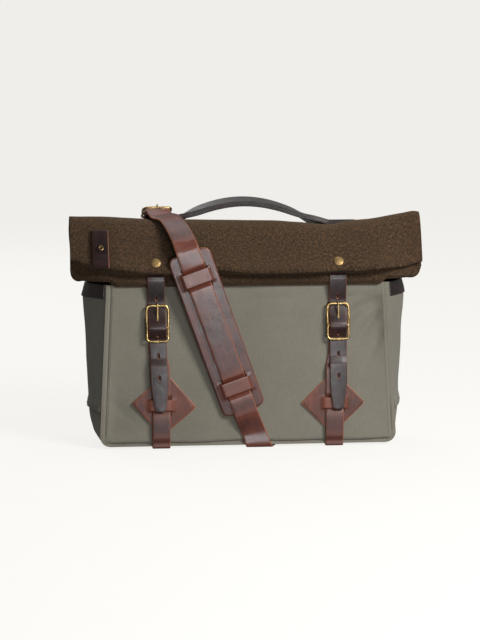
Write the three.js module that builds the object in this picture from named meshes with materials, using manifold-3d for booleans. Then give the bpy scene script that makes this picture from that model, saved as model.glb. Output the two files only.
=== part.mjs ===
import * as THREE from 'three';
import { mergeVertices } from 'three/addons/utils/BufferGeometryUtils.js';
import Module from 'manifold-3d';

// A canvas messenger bag with a rolled wool top, in millimetres, +Z up and its front towards -Y.
const wasm = await Module();
wasm.setup();

// Clearance between pieces that touch
const fit = 0.35;

// Canvas body
const seamWidthBottom = 354;
const seamWidthTop = 335;
const bodyDepth = 106;
const topDepth = 88;
const canvasHeight = 194;
const canvasThickness = 2;
const baseCornerRadius = 13;
const frontBulge = 3;
const gussetBulge = 25;
const baseWrapHeight = 44;
const wrapOverlap = 5;

// Wool top
const tweedWidth = 418;
const tweedThickness = 2;
const ridgeHeight = 268;
const ridgeSetback = 8;
const flapEdgeHeight = 209;
const flapReach = 54;
const hemOverlap = 4;
const layerPitch = 2.7;
const tweedCornerRadius = 13;

// Leather
const strapThickness = 2.2;
const flapStrapWidth = 20.6;
const lowerStrapWidth = 21.2;
const strapSpacing = 213;
const flapStrapTop = 227;
const strapTipHeight = 45;
const tipTaperLength = 34;
const tipWidth = 13;
const holeSpacing = 25.7;
const firstHole = 8;
const holeWidth = 3;
const lowerStrapEnd = 62;
const diamondSide = 54;
const diamondHeight = 52;
const diamondThickness = 2;
const bridgeHeight = 12.5;
const slotHeight = 6.5;
const shoulderWidth = 28;
const shoulderThickness = 2.4;
const padWidth = 51;
const padLength = 202;
const padThickness = 2.6;
const padCornerRadius = 9;
// Slope of the pad against the upright, and the share of its length that it drops
const padLean = 0.034;
const padDrop = 0.96;
// Rise of the shoulder strap over the ridge, its free tip and the play in its buckle
const shoulderRise = 3.2;
const shoulderTipLength = 30;
const shoulderTipTaper = 9;
const bucklePlay = 4;
const patchHeight = 17;
const tagWidth = 18.6;
const tagLength = 41;
const tagThickness = 1.8;

// Handle
const handleLength = 284;
const handleWidth = 32;
const handleThickness = 6.8;
const handleRise = 28.8;
const handleArchLength = 198;
const handleShift = 4;

// Brass
const buckleWidth = 28.4;
const buckleHeight = 44.7;
const rodRadius = 1.4;
const topBarRadius = 1.7;
const centreBarRadius = 1.5;
const buckleCentreHeight = 144;
const rivetRadius = 5.8;
const rivetHeight = 2.6;
const postRadius = 1.5;

const clamp01 = (value) => Math.min(1, Math.max(0, value));
const smooth = (value) => clamp01(value) ** 2 * (3 - 2 * clamp01(value));
const mix = (from, to, share) => from + (to - from) * share;

// Reads a table of rows at a key, straight between rows; the first column is the key
function readTable(rows, key, column = 1) {
  const last = rows.length - 1;
  const rising = rows[last][0] > rows[0][0];
  const ordered = rising ? rows : [...rows].reverse();
  if (key <= ordered[0][0]) return ordered[0][column];
  if (key >= ordered[last][0]) return ordered[last][column];
  const next = ordered.findIndex((row) => row[0] >= key);
  const [low, high] = [ordered[next - 1], ordered[next]];
  return mix(low[column], high[column], (key - low[0]) / (high[0] - low[0]));
}

// A closed body from points and triangles, turned to face outwards
function closedBody(points, triangles) {
  let volume = 0;
  for (const [a, b, c] of triangles) {
    const [p, q, r] = [points[a], points[b], points[c]];
    volume += p[0] * (q[1] * r[2] - q[2] * r[1]) - p[1] * (q[0] * r[2] - q[2] * r[0])
      + p[2] * (q[0] * r[1] - q[1] * r[0]);
  }
  const faces = volume < 0 ? triangles.map(([a, b, c]) => [a, c, b]) : triangles;
  const geometry = new THREE.BufferGeometry();
  geometry.setAttribute('position', new THREE.Float32BufferAttribute(points.flat(), 3));
  geometry.setIndex(faces.flat());
  return geometry;
}

// A thick sheet: two grids of points, outer(i, j) and inner(i, j), joined along their edges
function sheet(rows, columns, outer, inner) {
  const points = [];
  const triangles = [];
  const across = columns + 1;
  const layer = (rows + 1) * across;
  for (const side of [outer, inner]) {
    for (let i = 0; i <= rows; i++) {
      for (let j = 0; j <= columns; j++) points.push(side(i, j));
    }
  }
  const quad = (a, b, c, d) => triangles.push([a, b, c], [a, c, d]);
  for (let i = 0; i < rows; i++) {
    for (let j = 0; j < columns; j++) {
      const a = i * across + j;
      quad(a, a + 1, a + across + 1, a + across);
      quad(layer + a, layer + a + across, layer + a + across + 1, layer + a + 1);
    }
  }
  for (let j = 0; j < columns; j++) {
    const end = rows * across + j;
    quad(j, layer + j, layer + j + 1, j + 1);
    quad(end, end + 1, layer + end + 1, layer + end);
  }
  for (let i = 0; i < rows; i++) {
    const a = i * across;
    const b = a + columns;
    quad(a, a + across, layer + a + across, layer + a);
    quad(b, layer + b, layer + b + across, b + across);
  }
  return closedBody(points, triangles);
}

// Joins and cuts of closed bodies
function toSolid(geometry) {
  const bare = geometry.clone();
  bare.deleteAttribute('normal');
  bare.deleteAttribute('uv');
  const merged = mergeVertices(bare, 1e-4);
  return new wasm.Manifold(new wasm.Mesh({
    numProp: 3,
    vertProperties: new Float32Array(merged.attributes.position.array),
    triVerts: new Uint32Array(merged.index.array),
  }));
}

function fromSolid(solid) {
  const mesh = solid.getMesh();
  const geometry = new THREE.BufferGeometry();
  geometry.setAttribute('position', new THREE.BufferAttribute(mesh.vertProperties, 3));
  geometry.setIndex(new THREE.BufferAttribute(mesh.triVerts, 1));
  return geometry;
}

function joined(...geometries) {
  return fromSolid(geometries.map(toSolid).reduce((sum, next) => sum.add(next)));
}

function cut(geometry, tools) {
  return fromSolid(tools.map(toSolid).reduce((rest, tool) => rest.subtract(tool), toSolid(geometry)));
}

// The canvas body's outline
const strapStock = Math.max(strapThickness, shoulderThickness);
const baseHeight = strapStock + fit;
const canvasTop = canvasHeight;

// Columns: share of the canvas height, share of the gusset's bulge
const gussetRows = [
  [0, 0], [0.08, 0.24], [0.16, 0.42], [0.25, 0.5], [0.43, 0.63], [0.56, 0.73], [0.74, 0.85], [0.9, 1],
  [1, 0.86],
];

// Columns: share of the seam's half width, share of the canvas height, depth as a share of the canvas
// thickness, radius as a share of the half width
const frontDents = [
  [0.93, 0.78, 1.6, 0.1],
  [0.86, 0.62, 1.1, 0.12],
  [-0.9, 0.2, 1.5, 0.12],
  [-0.05, 0.86, 0.9, 0.16],
];

const heightShare = (z) => clamp01((z - baseHeight) / (canvasTop - baseHeight));

function cornerInset(z) {
  const below = Math.max(0, baseCornerRadius - (z - baseHeight));
  return baseCornerRadius - Math.sqrt(Math.max(0, baseCornerRadius ** 2 - below ** 2));
}

const seamHalfWidth = (z) => mix(seamWidthBottom, seamWidthTop, heightShare(z)) / 2;
const seamDepth = (z) => mix(bodyDepth, topDepth, heightShare(z) ** 1.2) / 2;
const creaseOut = (z) => gussetBulge * readTable(gussetRows, heightShare(z));

// How far the front stands out from the centre plane, without its dents
function frontDepth(x, z) {
  const across = clamp01(1 - (x / seamHalfWidth(z)) ** 2);
  return seamDepth(z) + frontBulge * across * Math.sin(Math.PI * mix(0.06, 0.94, heightShare(z)));
}

// Dents die out towards the seams and the base, where the front meets its neighbours
function dentDepth(x, z) {
  const fromSeam = clamp01((seamHalfWidth(z) - Math.abs(x) - canvasThickness * 2) / baseCornerRadius);
  const fromBase = clamp01((z - baseHeight - canvasThickness * 2) / baseCornerRadius);
  let depth = 0;
  for (const [xShare, zShare, deep, radius] of frontDents) {
    const dx = (x / seamHalfWidth(z) - xShare) / radius;
    const dz = (heightShare(z) - zShare) / (radius * 1.6);
    depth += deep * canvasThickness * Math.exp(-dx * dx - dz * dz);
  }
  return depth * smooth(fromSeam) * smooth(fromBase);
}

const backDepth = (x, z) => frontDepth(x, z);

// Front and back: rows up the height, columns between the seams
function frontPanel() {
  const heights = [0, 0.006, 0.02, 0.045, 0.07, 0.14, 0.25, 0.38, 0.52, 0.66, 0.78, 0.9, 1];
  const half = [0.2, 0.4, 0.58, 0.72, 0.84, 0.92, 0.972, 1];
  const shares = [...[...half].reverse().map((share) => -share), 0, ...half];
  const columns = shares.length - 1;
  const at = (setBack) => (i, j) => {
    const z = mix(baseHeight, canvasTop, heights[i]);
    const x = shares[j] * (seamHalfWidth(z) - cornerInset(z));
    return [x, -frontDepth(x, z) + dentDepth(x, z) + setBack, z];
  };
  return sheet(heights.length - 1, columns, at(0), at(canvasThickness));
}

function backPanel() {
  const heights = [0, 0.006, 0.02, 0.045, 0.07, 0.2, 0.4, 0.6, 0.8, 1];
  const columns = 10;
  const at = (setIn) => (i, j) => {
    const z = mix(baseHeight, canvasTop, heights[i]);
    const x = ((2 * j) / columns - 1) * (seamHalfWidth(z) - cornerInset(z));
    return [x, backDepth(x, z) - setIn, z];
  };
  return sheet(heights.length - 1, columns, at(0), at(canvasThickness));
}

// Outer face of a side at a height and a share v of the depth, -1 at the front and 1 at the back
function sidePoint(v, z, out) {
  const inside = seamDepth(z) - canvasThickness - fit;
  const fold = 1 - Math.abs(v) ** 1.35;
  return [seamHalfWidth(z) - cornerInset(z) + creaseOut(z) * fold + out, v * inside, z];
}

function gusset(side) {
  const bottom = baseWrapHeight;
  const heights = [0, 0.035, 0.07, 0.18, 0.32, 0.46, 0.6, 0.74, 0.86, 0.94, 1];
  const columns = 8;
  const lapOut = canvasThickness + fit;
  const at = (setIn) => (i, j) => {
    const z = mix(bottom, canvasTop, heights[i]);
    const lap = mix(lapOut, 0, smooth((z - bottom - wrapOverlap) / (wrapOverlap * 2)));
    const [x, y] = sidePoint((2 * j) / columns - 1, z, lap - setIn);
    return [side * x, y, z];
  };
  return sheet(heights.length - 1, columns, at(0), at(canvasThickness));
}

// The base, from the top of its left turn-up, round both bottom corners, to the top of the right one
function basePanel() {
  const top = baseWrapHeight + wrapOverlap;
  const turnUp = [1, 0.62, 0.36, 0.26, 0.16, 0.08, 0.025].map((share) => mix(baseHeight, top, share));
  const across = [-0.72, -0.4, 0, 0.4, 0.72];
  const rows = [
    ...turnUp.map((z) => ({ side: -1, z })),
    ...[-1, ...across, 1].map((share) => ({ side: 0, share })),
    ...[...turnUp].reverse().map((z) => ({ side: 1, z })),
  ];
  const columns = 4;
  const at = (setIn) => (i, j) => {
    const v = (2 * j) / columns - 1;
    const row = rows[i];
    if (row.side === 0) {
      const [x, y] = sidePoint(v, baseHeight, 0);
      return [row.share * (x - Math.abs(row.share) * setIn * 0.4), y, baseHeight + setIn];
    }
    const corner = clamp01((row.z - baseHeight) / baseCornerRadius);
    const [x, y] = sidePoint(v, row.z, -setIn * Math.sqrt(corner * (2 - corner)));
    return [row.side * x, y, row.z + setIn * (1 - corner)];
  };
  return sheet(rows.length - 1, columns, at(0), at(canvasThickness));
}

function gussetPatch(side) {
  const heights = [0, 0.35, 0.7, 1];
  const columns = 8;
  const at = (out) => (i, j) => {
    const z = mix(canvasTop - patchHeight, canvasTop, heights[i]);
    const [x, y] = sidePoint(0.96 * ((2 * j) / columns - 1), z, out);
    return [side * x, y, z];
  };
  return sheet(heights.length - 1, columns, at(fit + strapThickness * 0.8), at(fit));
}

// Lines in the side view are lists of [y, z] points

// Moves each point of a line sideways, to the right of its direction, with mitred corners
function offsetLine(line, distance) {
  const amount = typeof distance === 'function' ? distance : () => distance;
  return line.map((point, i) => {
    const before = line[Math.max(0, i - 1)];
    const after = line[Math.min(line.length - 1, i + 1)];
    const first = direction(i > 0 ? before : point, i > 0 ? point : after);
    const second = direction(i < line.length - 1 ? point : before, i < line.length - 1 ? after : point);
    const normal = [first[1] + second[1], -first[0] - second[0]];
    const size = Math.hypot(...normal) || 1;
    const unit = [normal[0] / size, normal[1] / size];
    const bend = Math.max(0.62, unit[0] * first[1] - unit[1] * first[0]);
    const move = amount(i) / bend;
    return [point[0] + unit[0] * move, point[1] + unit[1] * move];
  });
}

function direction(from, to) {
  const [dy, dz] = [to[0] - from[0], to[1] - from[1]];
  const size = Math.hypot(dy, dz) || 1;
  return [dy / size, dz / size];
}

// The depth of a line at a height
function depthAt(line, z) {
  return readTable([...line].map(([y, height]) => [height, y]).sort((a, b) => a[0] - b[0]), z);
}

// The wool top's section: y as a share of the reach from the ridge, z as a share of the roll's height
const flapRows = [
  [0, 1], [0.167, 0.99], [0.352, 0.905], [0.537, 0.724], [0.7, 0.5], [0.85, 0.26], [0.965, 0.065],
];
const backRows = [
  [1, 0], [1, 0.1], [1, 0.325], [0.945, 0.545], [0.83, 0.71], [0.553, 0.8], [0.24, 0.877], [0.13, 0.954],
];

// The roll at the foot of the front wall: out from the canvas as a share of the wool's thickness,
// height above the hem as a share of the flap edge's height above the canvas
const rollRows = [[3.75, 0.72], [3.8, 0.42], [3, 0.2], [1.25, 0.06], [0.5, -0.12]];

// Columns: share of the half width, rise of the ridge and of the flap's edge as shares of the flap's height
const liftRows = [
  [-1, 0.075, 0.24], [-0.95, 0.074, 0.2], [-0.9, 0.072, 0.12], [-0.78, 0.06, 0.1], [-0.63, 0.03, 0.03],
  [-0.52, 0.003, -0.015], [-0.3, -0.005, 0.01], [-0.15, -0.015, 0.045], [0, -0.03, 0], [0.15, -0.034, -0.02],
  [0.3, -0.07, 0], [0.48, -0.125, 0.004], [0.6, -0.05, 0.017], [0.75, -0.005, 0.057], [0.9, 0.083, 0.073],
  [0.97, 0.125, 0.11], [1, 0.11, 0.13],
];

const ridgeY = -ridgeSetback;
const flapHeight = ridgeHeight - flapEdgeHeight;
const hemHeight = canvasTop - hemOverlap;
const endStart = 0.71;
const endReach = 0.6;

const widthShare = (x) => clamp01((Math.abs(x) / (tweedWidth / 2) - endStart) / (1 - endStart));
const frontReachAt = (x) => flapReach * mix(1, endReach, smooth(widthShare(x)));

function flapLine(x) {
  const share = (2 * x) / tweedWidth;
  const ridgeLift = readTable(liftRows, share, 1) * flapHeight;
  const edgeLift = readTable(liftRows, share, 2) * flapHeight;
  const centreRidge = ridgeHeight - tweedThickness / 2;
  return flapRows.map(([reach, height]) => [
    ridgeY - reach * frontReachAt(x),
    mix(flapEdgeHeight + edgeLift, centreRidge + ridgeLift, height),
  ]);
}

// Lower corners of the wool are rounded, and its ends stay above the canvas sides
function hemRise(x) {
  const past = Math.max(0, Math.abs(x) - (tweedWidth / 2 - tweedCornerRadius));
  const corner = tweedCornerRadius - Math.sqrt(Math.max(0, tweedCornerRadius ** 2 - past ** 2));
  const clear = (hemOverlap + tweedThickness) * smooth((Math.abs(x) - seamWidthTop / 2 + 12) / 10);
  return corner + clear;
}

function wallLine(x) {
  const flap = flapLine(x);
  const top = layerPitch * 2;
  const foot = layerPitch + tweedThickness + strapThickness + fit * 4;
  const wall = offsetLine(flap, (i) => -mix(foot, top, clamp01((flapRows[i][1] - 0.35) / 0.6)));
  const pastSeam = smooth((Math.abs(x) - seamWidthTop / 2) / (tweedWidth / 2 - seamWidthTop / 2));
  const canvasY = -frontDepth(x, hemHeight) * mix(1, endReach, pastSeam);
  const rolled = flapEdgeHeight - canvasTop;
  const roll = rollRows.map(([out, up]) => {
    const z = canvasTop + up * rolled;
    return [canvasY - fit - out * tweedThickness, z + hemRise(x) * (1 - up * 0.9)];
  });
  return [...wall.slice(2), ...roll];
}

function tweedLine(x) {
  const flap = flapLine(x);
  const inner = offsetLine(flap, -layerPitch);
  const wall = wallLine(x);
  const centreRidge = flap[0][1];
  const backY = backDepth(0, hemHeight) + fit + tweedThickness / 2;
  const closing = smooth((Math.abs(x) - seamWidthTop / 2) / (tweedWidth / 2 - seamWidthTop / 2));
  const back = backRows.map(([reach, height]) => {
    const rise = hemRise(x) * (1 - clamp01(height * 3));
    const z = mix(hemHeight, centreRidge, height) + rise;
    const open = mix(ridgeY, backY, reach);
    const shut = depthAt(wall, z) + layerPitch;
    return [mix(open, shut, closing * clamp01((0.877 - height) / 0.3)), z];
  });
  const end = flap[flap.length - 1];
  const innerEnd = inner[inner.length - 1];
  const turn = [
    [mix(end[0], innerEnd[0], 0.04), mix(end[1], innerEnd[1], 0.5) - layerPitch * 0.45],
    [mix(end[0], innerEnd[0], 0.62), mix(end[1], innerEnd[1], 0.7) - layerPitch * 0.55],
  ];
  return [...back, ...flap, ...turn, ...[...inner.slice(2)].reverse(), ...wall];
}

// Columns along the width, closer together towards the ends
const tweedColumns = [...liftRows.map((row) => row[0]), -0.84, 0.8].sort((a, b) => a - b);

function tweedBody() {
  const lines = tweedColumns.map((share) => tweedLine((share * tweedWidth) / 2));
  const faces = [-1, 1].map((side) => lines.map((line) => offsetLine(line, (side * tweedThickness) / 2)));
  const at = (face) => (i, j) => [(tweedColumns[j] * tweedWidth) / 2, ...face[j][i]];
  return sheet(lines[0].length - 1, tweedColumns.length - 1, at(faces[0]), at(faces[1]));
}

// Straps are ribbons: each row of a ribbon has its centre line point, its thickness and its two edges

// Buckled straps are set out about the buckle's centre bar: columns are the distance along the strap
// towards its upper end and the strap's level, which is the height of its middle above what it lies on
function buckleLevels(thickness) {
  const lying = fit + thickness / 2;
  const wrap = centreBarRadius + fit + thickness / 2;
  const topBar = lying + thickness / 2 + fit + topBarRadius;
  const keeper = lying + thickness * 1.5 + fit * 2 + rodRadius;
  const lower = buckleHeight * 0.36;
  const upper = buckleHeight * 0.64 - topBarRadius - rodRadius;
  const centre = mix(keeper, topBar, lower / (lower + upper));
  return { lying, wrap, topBar, keeper, lower, upper, centre, over: centre + wrap + thickness + fit };
}

// The strap that goes through: under the top bar, over the centre bar, under the lower bar
function throughRows(levels, thickness) {
  const stacked = levels.lying + thickness + fit;
  return [
    [levels.upper + thickness * 1.8, levels.lying],
    [levels.upper - rodRadius * 2, levels.lying],
    [levels.upper * 0.52, mix(levels.lying, levels.over, 0.4)],
    [levels.wrap, levels.over - fit],
    [0, levels.over + fit],
    [-levels.wrap, levels.over - fit * 0.5],
    [-levels.lower * 0.45, mix(levels.over, stacked, 0.42)],
    [-levels.lower + rodRadius * 2, stacked],
    [-levels.lower - thickness * 1.8, stacked],
  ];
}

// The strap that holds the buckle turns round its centre bar from behind and ends in front of it
function chapeRows(levels) {
  const turn = [-90, -60, -25, 10, 45, 80, 110].map((angle) => (angle * Math.PI) / 180);
  return [
    [-levels.lower - rodRadius * 1.4, levels.lying],
    [-levels.lower + rodRadius * 1.4, levels.lying],
    [-levels.wrap * 1.9, mix(levels.lying, levels.centre - levels.wrap, 0.6)],
    ...turn.map((angle) => [levels.wrap * Math.cos(angle), levels.centre + levels.wrap * Math.sin(angle)]),
  ];
}

// The strap's thick line: a list of [along, level] points with their upper and lower faces
function ribbon(centreLine, thickness, toPoint, columns = 1) {
  const upper = offsetLine(centreLine, thickness / 2);
  const lower = offsetLine(centreLine, -thickness / 2);
  const at = (line) => (i, j) => toPoint(line[i], i, (2 * j) / columns - 1);
  return sheet(centreLine.length - 1, columns, at(upper), at(lower));
}

// A straight bar between two points
function bar(from, to, radius, sides = 6) {
  const [start, end] = [new THREE.Vector3(...from), new THREE.Vector3(...to)];
  const along = end.clone().sub(start);
  const geometry = new THREE.CylinderGeometry(radius, radius, along.length(), sides);
  const upright = new THREE.Vector3(0, 1, 0);
  geometry.applyQuaternion(new THREE.Quaternion().setFromUnitVectors(upright, along.normalize()));
  const middle = start.add(end).multiplyScalar(0.5);
  return geometry.translate(middle.x, middle.y, middle.z);
}

function block(from, to) {
  const size = to.map((value, i) => value - from[i]);
  const middle = to.map((value, i) => (value + from[i]) / 2);
  return new THREE.BoxGeometry(...size).translate(...middle);
}

// A buckle stands in its own frame: x across the strap, y down into the bag, z along the strap

// The outline of the frame's rod: shares of its half width and, from the centre bar, of each part's length
const frameRows = [
  [0, 1], [0.45, 1.012], [0.8, 0.985], [0.965, 0.86], [1, 0.62], [0.99, 0.3], [0.955, 0], [0.96, -0.35],
  [0.975, -0.7], [0.93, -0.9], [0.78, -0.985], [0.4, -1.01], [0, -1.02],
];

function buckleFrame(width, levels) {
  const half = width / 2 - rodRadius;
  const right = frameRows.map(([across, along]) => [half * across, along]);
  const left = right.slice(1, -1).reverse().map(([x, along]) => [-x, along]);
  const loop = [...right, ...left].map(([x, along]) => {
    const end = along > 0 ? levels.topBar : levels.keeper;
    const height = mix(levels.centre, end, Math.abs(along));
    const radius = mix(rodRadius, topBarRadius, clamp01((along - 0.8) / 0.2));
    return { x, y: -height, z: along * (along > 0 ? levels.upper : levels.lower), radius };
  });
  const sides = 6;
  const points = [];
  const triangles = [];
  loop.forEach((here, i) => {
    const before = loop[(i + loop.length - 1) % loop.length];
    const after = loop[(i + 1) % loop.length];
    const tangent = [after.x - before.x, after.z - before.z];
    const size = Math.hypot(...tangent);
    for (let k = 0; k < sides; k++) {
      const angle = (2 * Math.PI * k) / sides;
      const out = here.radius * Math.cos(angle);
      points.push([
        here.x + (out * tangent[1]) / size,
        here.y + here.radius * Math.sin(angle),
        here.z - (out * tangent[0]) / size,
      ]);
      const [a, b] = [i * sides + k, i * sides + ((k + 1) % sides)];
      const shift = ((i + 1) % loop.length) * sides - i * sides;
      triangles.push([a, b, b + shift], [a, b + shift, a + shift]);
    }
  });
  const centre = bar([-half * 0.955, -levels.centre, 0], [half * 0.955, -levels.centre, 0], centreBarRadius);
  const nub = new THREE.SphereGeometry(rodRadius * 1.15, 6, 4);
  nub.translate(0, -levels.keeper, -levels.lower * 1.08);
  return joined(closedBody(points, triangles), centre, nub);
}

// The prong: a ring round the centre bar and a tongue that lies on the top bar
const prongRadius = 1.3;
const prongRing = 2.4;

function prong(levels) {
  const hole = centreBarRadius + fit;
  const ringShape = new THREE.Shape().absarc(0, 0, hole + prongRing * 0.55, 0, Math.PI * 2, false);
  ringShape.holes.push(new THREE.Path().absarc(0, 0, hole, 0, Math.PI * 2, true));
  const ring = new THREE.ExtrudeGeometry(ringShape, {
    depth: prongRing, bevelEnabled: false, curveSegments: 4,
  });
  ring.translate(0, 0, -prongRing / 2).rotateY(Math.PI / 2).translate(0, -levels.centre, 0);
  const rest = levels.topBar + topBarRadius + fit + prongRadius;
  const root = [0, -levels.centre - hole - prongRadius * 0.5, prongRadius];
  const tip = [0, -rest, levels.upper + topBarRadius * 0.9];
  return joined(ring, bar(root, tip, prongRadius));
}

// Slots in a strap for the prong's ring, and the round holes that it can go through
const ringSlot = (levels) => block(
  [-prongRing / 2 - fit, -levels.over, -levels.wrap * 1.25],
  [prongRing / 2 + fit, -levels.centre + levels.wrap * 1.6, levels.wrap * 1.6],
);

// A domed rivet cap on a post; its foot is at the origin and its dome is towards -Y
function rivet(radius, height, postLength) {
  const profile = [
    [0, height], [radius * 0.5, height * 0.9], [radius * 0.85, height * 0.55], [radius, height * 0.1],
    [radius * 0.95, 0], [postRadius, 0], [postRadius, -postLength], [0, -postLength],
  ];
  const points = profile.reverse().map(([out, up]) => new THREE.Vector2(out, up));
  return new THREE.LatheGeometry(points, 8).rotateX(Math.PI).translate(0, -fit, 0);
}

// Pieces that lie on the front: a point's level is its distance out from the canvas
const lying = fit + strapThickness / 2;
const second = lying + strapThickness + fit;
const third = second + strapThickness + fit;
const plateLift = fit + 0.1;
const buckle = buckleLevels(strapThickness);
const diamondReach = diamondSide / Math.SQRT2;

// Columns: side, then as shares of the strap spacing the middle of the flap strap at the flap and at its
// tip, of the lower strap and of the diamond, and the turn of the diamond in degrees
const fasteningRows = [
  [-1, 0.516, 0.493, 0.488, 0.472, 4],
  [1, 0.498, 0.5, 0.48, 0.471, 0],
];

function strapMiddle([side, top, tip], z) {
  const share = clamp01((flapEdgeHeight - z) / (flapEdgeHeight - strapTipHeight));
  return side * strapSpacing * mix(top, tip, share);
}

// A side-view point in the buckle's frame, which leans as the front does
function atBuckle(row, [along, level]) {
  const x = strapMiddle(row, buckleCentreHeight);
  const lean = frontLean(x, buckleCentreHeight);
  return [
    -frontDepth(x, buckleCentreHeight) - level * Math.cos(lean) - along * Math.sin(lean),
    buckleCentreHeight - level * Math.sin(lean) + along * Math.cos(lean),
  ];
}

const lowerMiddle = ([side, , , lower]) => side * strapSpacing * lower;

// A side-view point that follows the front's curve across a strap
function acrossFront(middle, x, [y, z]) {
  const onFront = smooth((-y - topDepth * 0.35) / baseCornerRadius);
  return [x, y - (frontDepth(x, z) - frontDepth(middle, z)) * onFront, z];
}

function flapStrap(row) {
  const x = strapMiddle(row, flapEdgeHeight);
  const behind = layerPitch + tweedThickness / 2 + fit + strapThickness / 2;
  const flap = offsetLine(flapLine(x), -behind);
  const outOverRoll = fit + rollRows[1][0] * tweedThickness + tweedThickness / 2 + fit + strapThickness / 2;
  const rolled = flapEdgeHeight - canvasTop;
  const front = (z, level) => [-frontDepth(strapMiddle(row, z), z) - level, z];
  const diamondTop = diamondHeight + diamondReach;
  const aboveBuckle = buckleCentreHeight + throughRows(buckle, strapThickness)[0][0];
  const line = [
    [depthAt(flap, flapStrapTop), flapStrapTop],
    ...flap.slice(-2),
    front(canvasTop + rolled * 0.7, outOverRoll),
    front(canvasTop + rolled * 0.35, outOverRoll),
    front(mix(canvasTop + rolled * 0.35, aboveBuckle, 0.5), outOverRoll * 0.68),
    ...throughRows(buckle, strapThickness).map((point) => atBuckle(row, point)),
    front(diamondTop + strapThickness * 8, second),
    front(diamondTop + strapThickness * 4, third),
    front(diamondHeight + bridgeHeight, third),
    front(strapTipHeight + tipTaperLength, third),
    front(strapTipHeight + tipTaperLength * 0.5, third),
    front(strapTipHeight + tipTaperLength * 0.15, third),
    front(strapTipHeight, third),
  ];
  const halfWidth = (z) => {
    const taper = clamp01((strapTipHeight + tipTaperLength - z) / tipTaperLength);
    return mix(flapStrapWidth, tipWidth, taper ** 1.6) / 2;
  };
  const body = ribbon(line, strapThickness, (point, i, share) => {
    const middle = strapMiddle(row, point[1]);
    return acrossFront(middle, middle + share * halfWidth(line[i][1]), point);
  });
  const prongHole = buckleCentreHeight + buckle.wrap * 2.4;
  const holes = [0, 1, 2].map((step) => {
    const z = buckleCentreHeight - firstHole - step * holeSpacing;
    const middle = strapMiddle(row, z);
    const y = -frontDepth(middle, z);
    return bar([middle, y - third * 2.4, z], [middle, y + third, z], holeWidth / 2);
  });
  const middle = strapMiddle(row, buckleCentreHeight);
  const slot = block(
    [middle - prongRadius - fit, -bodyDepth, buckleCentreHeight + buckle.wrap * 0.75],
    [middle + prongRadius + fit, 0, prongHole + holeWidth * 2],
  );
  return cut(body, [...holes, slot]);
}

function lowerStrap(row) {
  const x = lowerMiddle(row);
  const buckleX = strapMiddle(row, buckleCentreHeight);
  const diamondTop = diamondHeight + diamondReach;
  const keeperHeight = buckleCentreHeight - buckle.lower;
  const toBuckle = (z) => smooth((z - diamondTop) / (keeperHeight - diamondTop - strapThickness * 3.5));
  const middleAt = ([y, z]) => (y > 0 ? x : mix(x, buckleX, toBuckle(z)));
  const front = (z, level) => [-frontDepth(x, z) - level, z];
  const back = (z) => [backDepth(x, z) + lying, z];
  const under = strapThickness / 2;
  const window = bridgeHeight / 2 + slotHeight;
  const line = [
    back(lowerStrapEnd),
    back(lowerStrapEnd * 0.5),
    back(under + strapThickness * 0.4),
    [back(0)[0] - strapThickness * 0.4, under],
    [0, under],
    [front(0, lying)[0] + strapThickness * 0.4, under],
    front(under + strapThickness * 0.4, lying),
    front(diamondHeight - diamondReach - strapThickness * 3, lying),
    front(diamondHeight - diamondReach - strapThickness * 0.5, second),
    front(diamondHeight - window + strapThickness * 0.5, second),
    front(diamondHeight - bridgeHeight / 2 - 0.2, lying),
    front(diamondHeight + bridgeHeight / 2 + 0.2, lying),
    front(diamondHeight + window - strapThickness * 0.5, second),
    front(diamondTop + strapThickness, second),
    front(diamondTop + strapThickness * 4, lying),
    ...chapeRows(buckle).map((point) => atBuckle(row, point)),
  ];
  const body = ribbon(line, strapThickness, (point, i, share) => {
    const middle = middleAt(line[i]);
    return acrossFront(middle, middle + (share * lowerStrapWidth) / 2, point);
  });
  const y = -frontDepth(buckleX, buckleCentreHeight);
  return cut(body, [ringSlot(buckle).translate(buckleX, y, buckleCentreHeight)]);
}

// A leather plate in its own frame, x across, y = -level, with windows that bridges cross.
// A strap goes over the plate, under each bridge and over the plate again.
function wovenPlate(shape, thickness, lift, strap, bridges, bridge) {
  const plate = new THREE.ExtrudeGeometry(shape, { depth: thickness, bevelEnabled: false, curveSegments: 4 });
  plate.rotateX(Math.PI / 2).translate(0, -lift, 0);
  const halfWindow = strap.width / 2 + fit * 3;
  const inside = fit * 2 + strap.thickness;
  const foot = halfWindow + thickness * 1.4;
  const windows = bridges.map((z) => block(
    [-halfWindow, -inside * 3, z - bridge / 2 - slotHeight],
    [halfWindow, inside, z + bridge / 2 + slotHeight],
  ));
  const outer = [[foot, lift], [foot, lift + thickness * 0.9], [halfWindow + 0.3, inside + thickness]];
  const inner = [[halfWindow - 0.5, inside], [halfWindow + 0.7, lift]];
  const mirrored = (points) => [...points].reverse().map(([x, level]) => [-x, level]);
  const points = [...outer, ...mirrored(outer), ...mirrored(inner), ...inner];
  const arch = new THREE.Shape(points.map(([x, level]) => new THREE.Vector2(x, -level)));
  const arches = bridges.map((z) => {
    const body = new THREE.ExtrudeGeometry(arch, { depth: bridge, bevelEnabled: false });
    return body.translate(0, 0, z - bridge / 2);
  });
  return joined(cut(plate, windows), ...arches);
}

function onFront(geometry, x) {
  const position = geometry.attributes.position;
  for (let i = 0; i < position.count; i++) {
    const at = position.getX(i) + x;
    position.setXYZ(i, at, position.getY(i) - frontDepth(at, position.getZ(i)), position.getZ(i));
  }
  return geometry;
}

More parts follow.
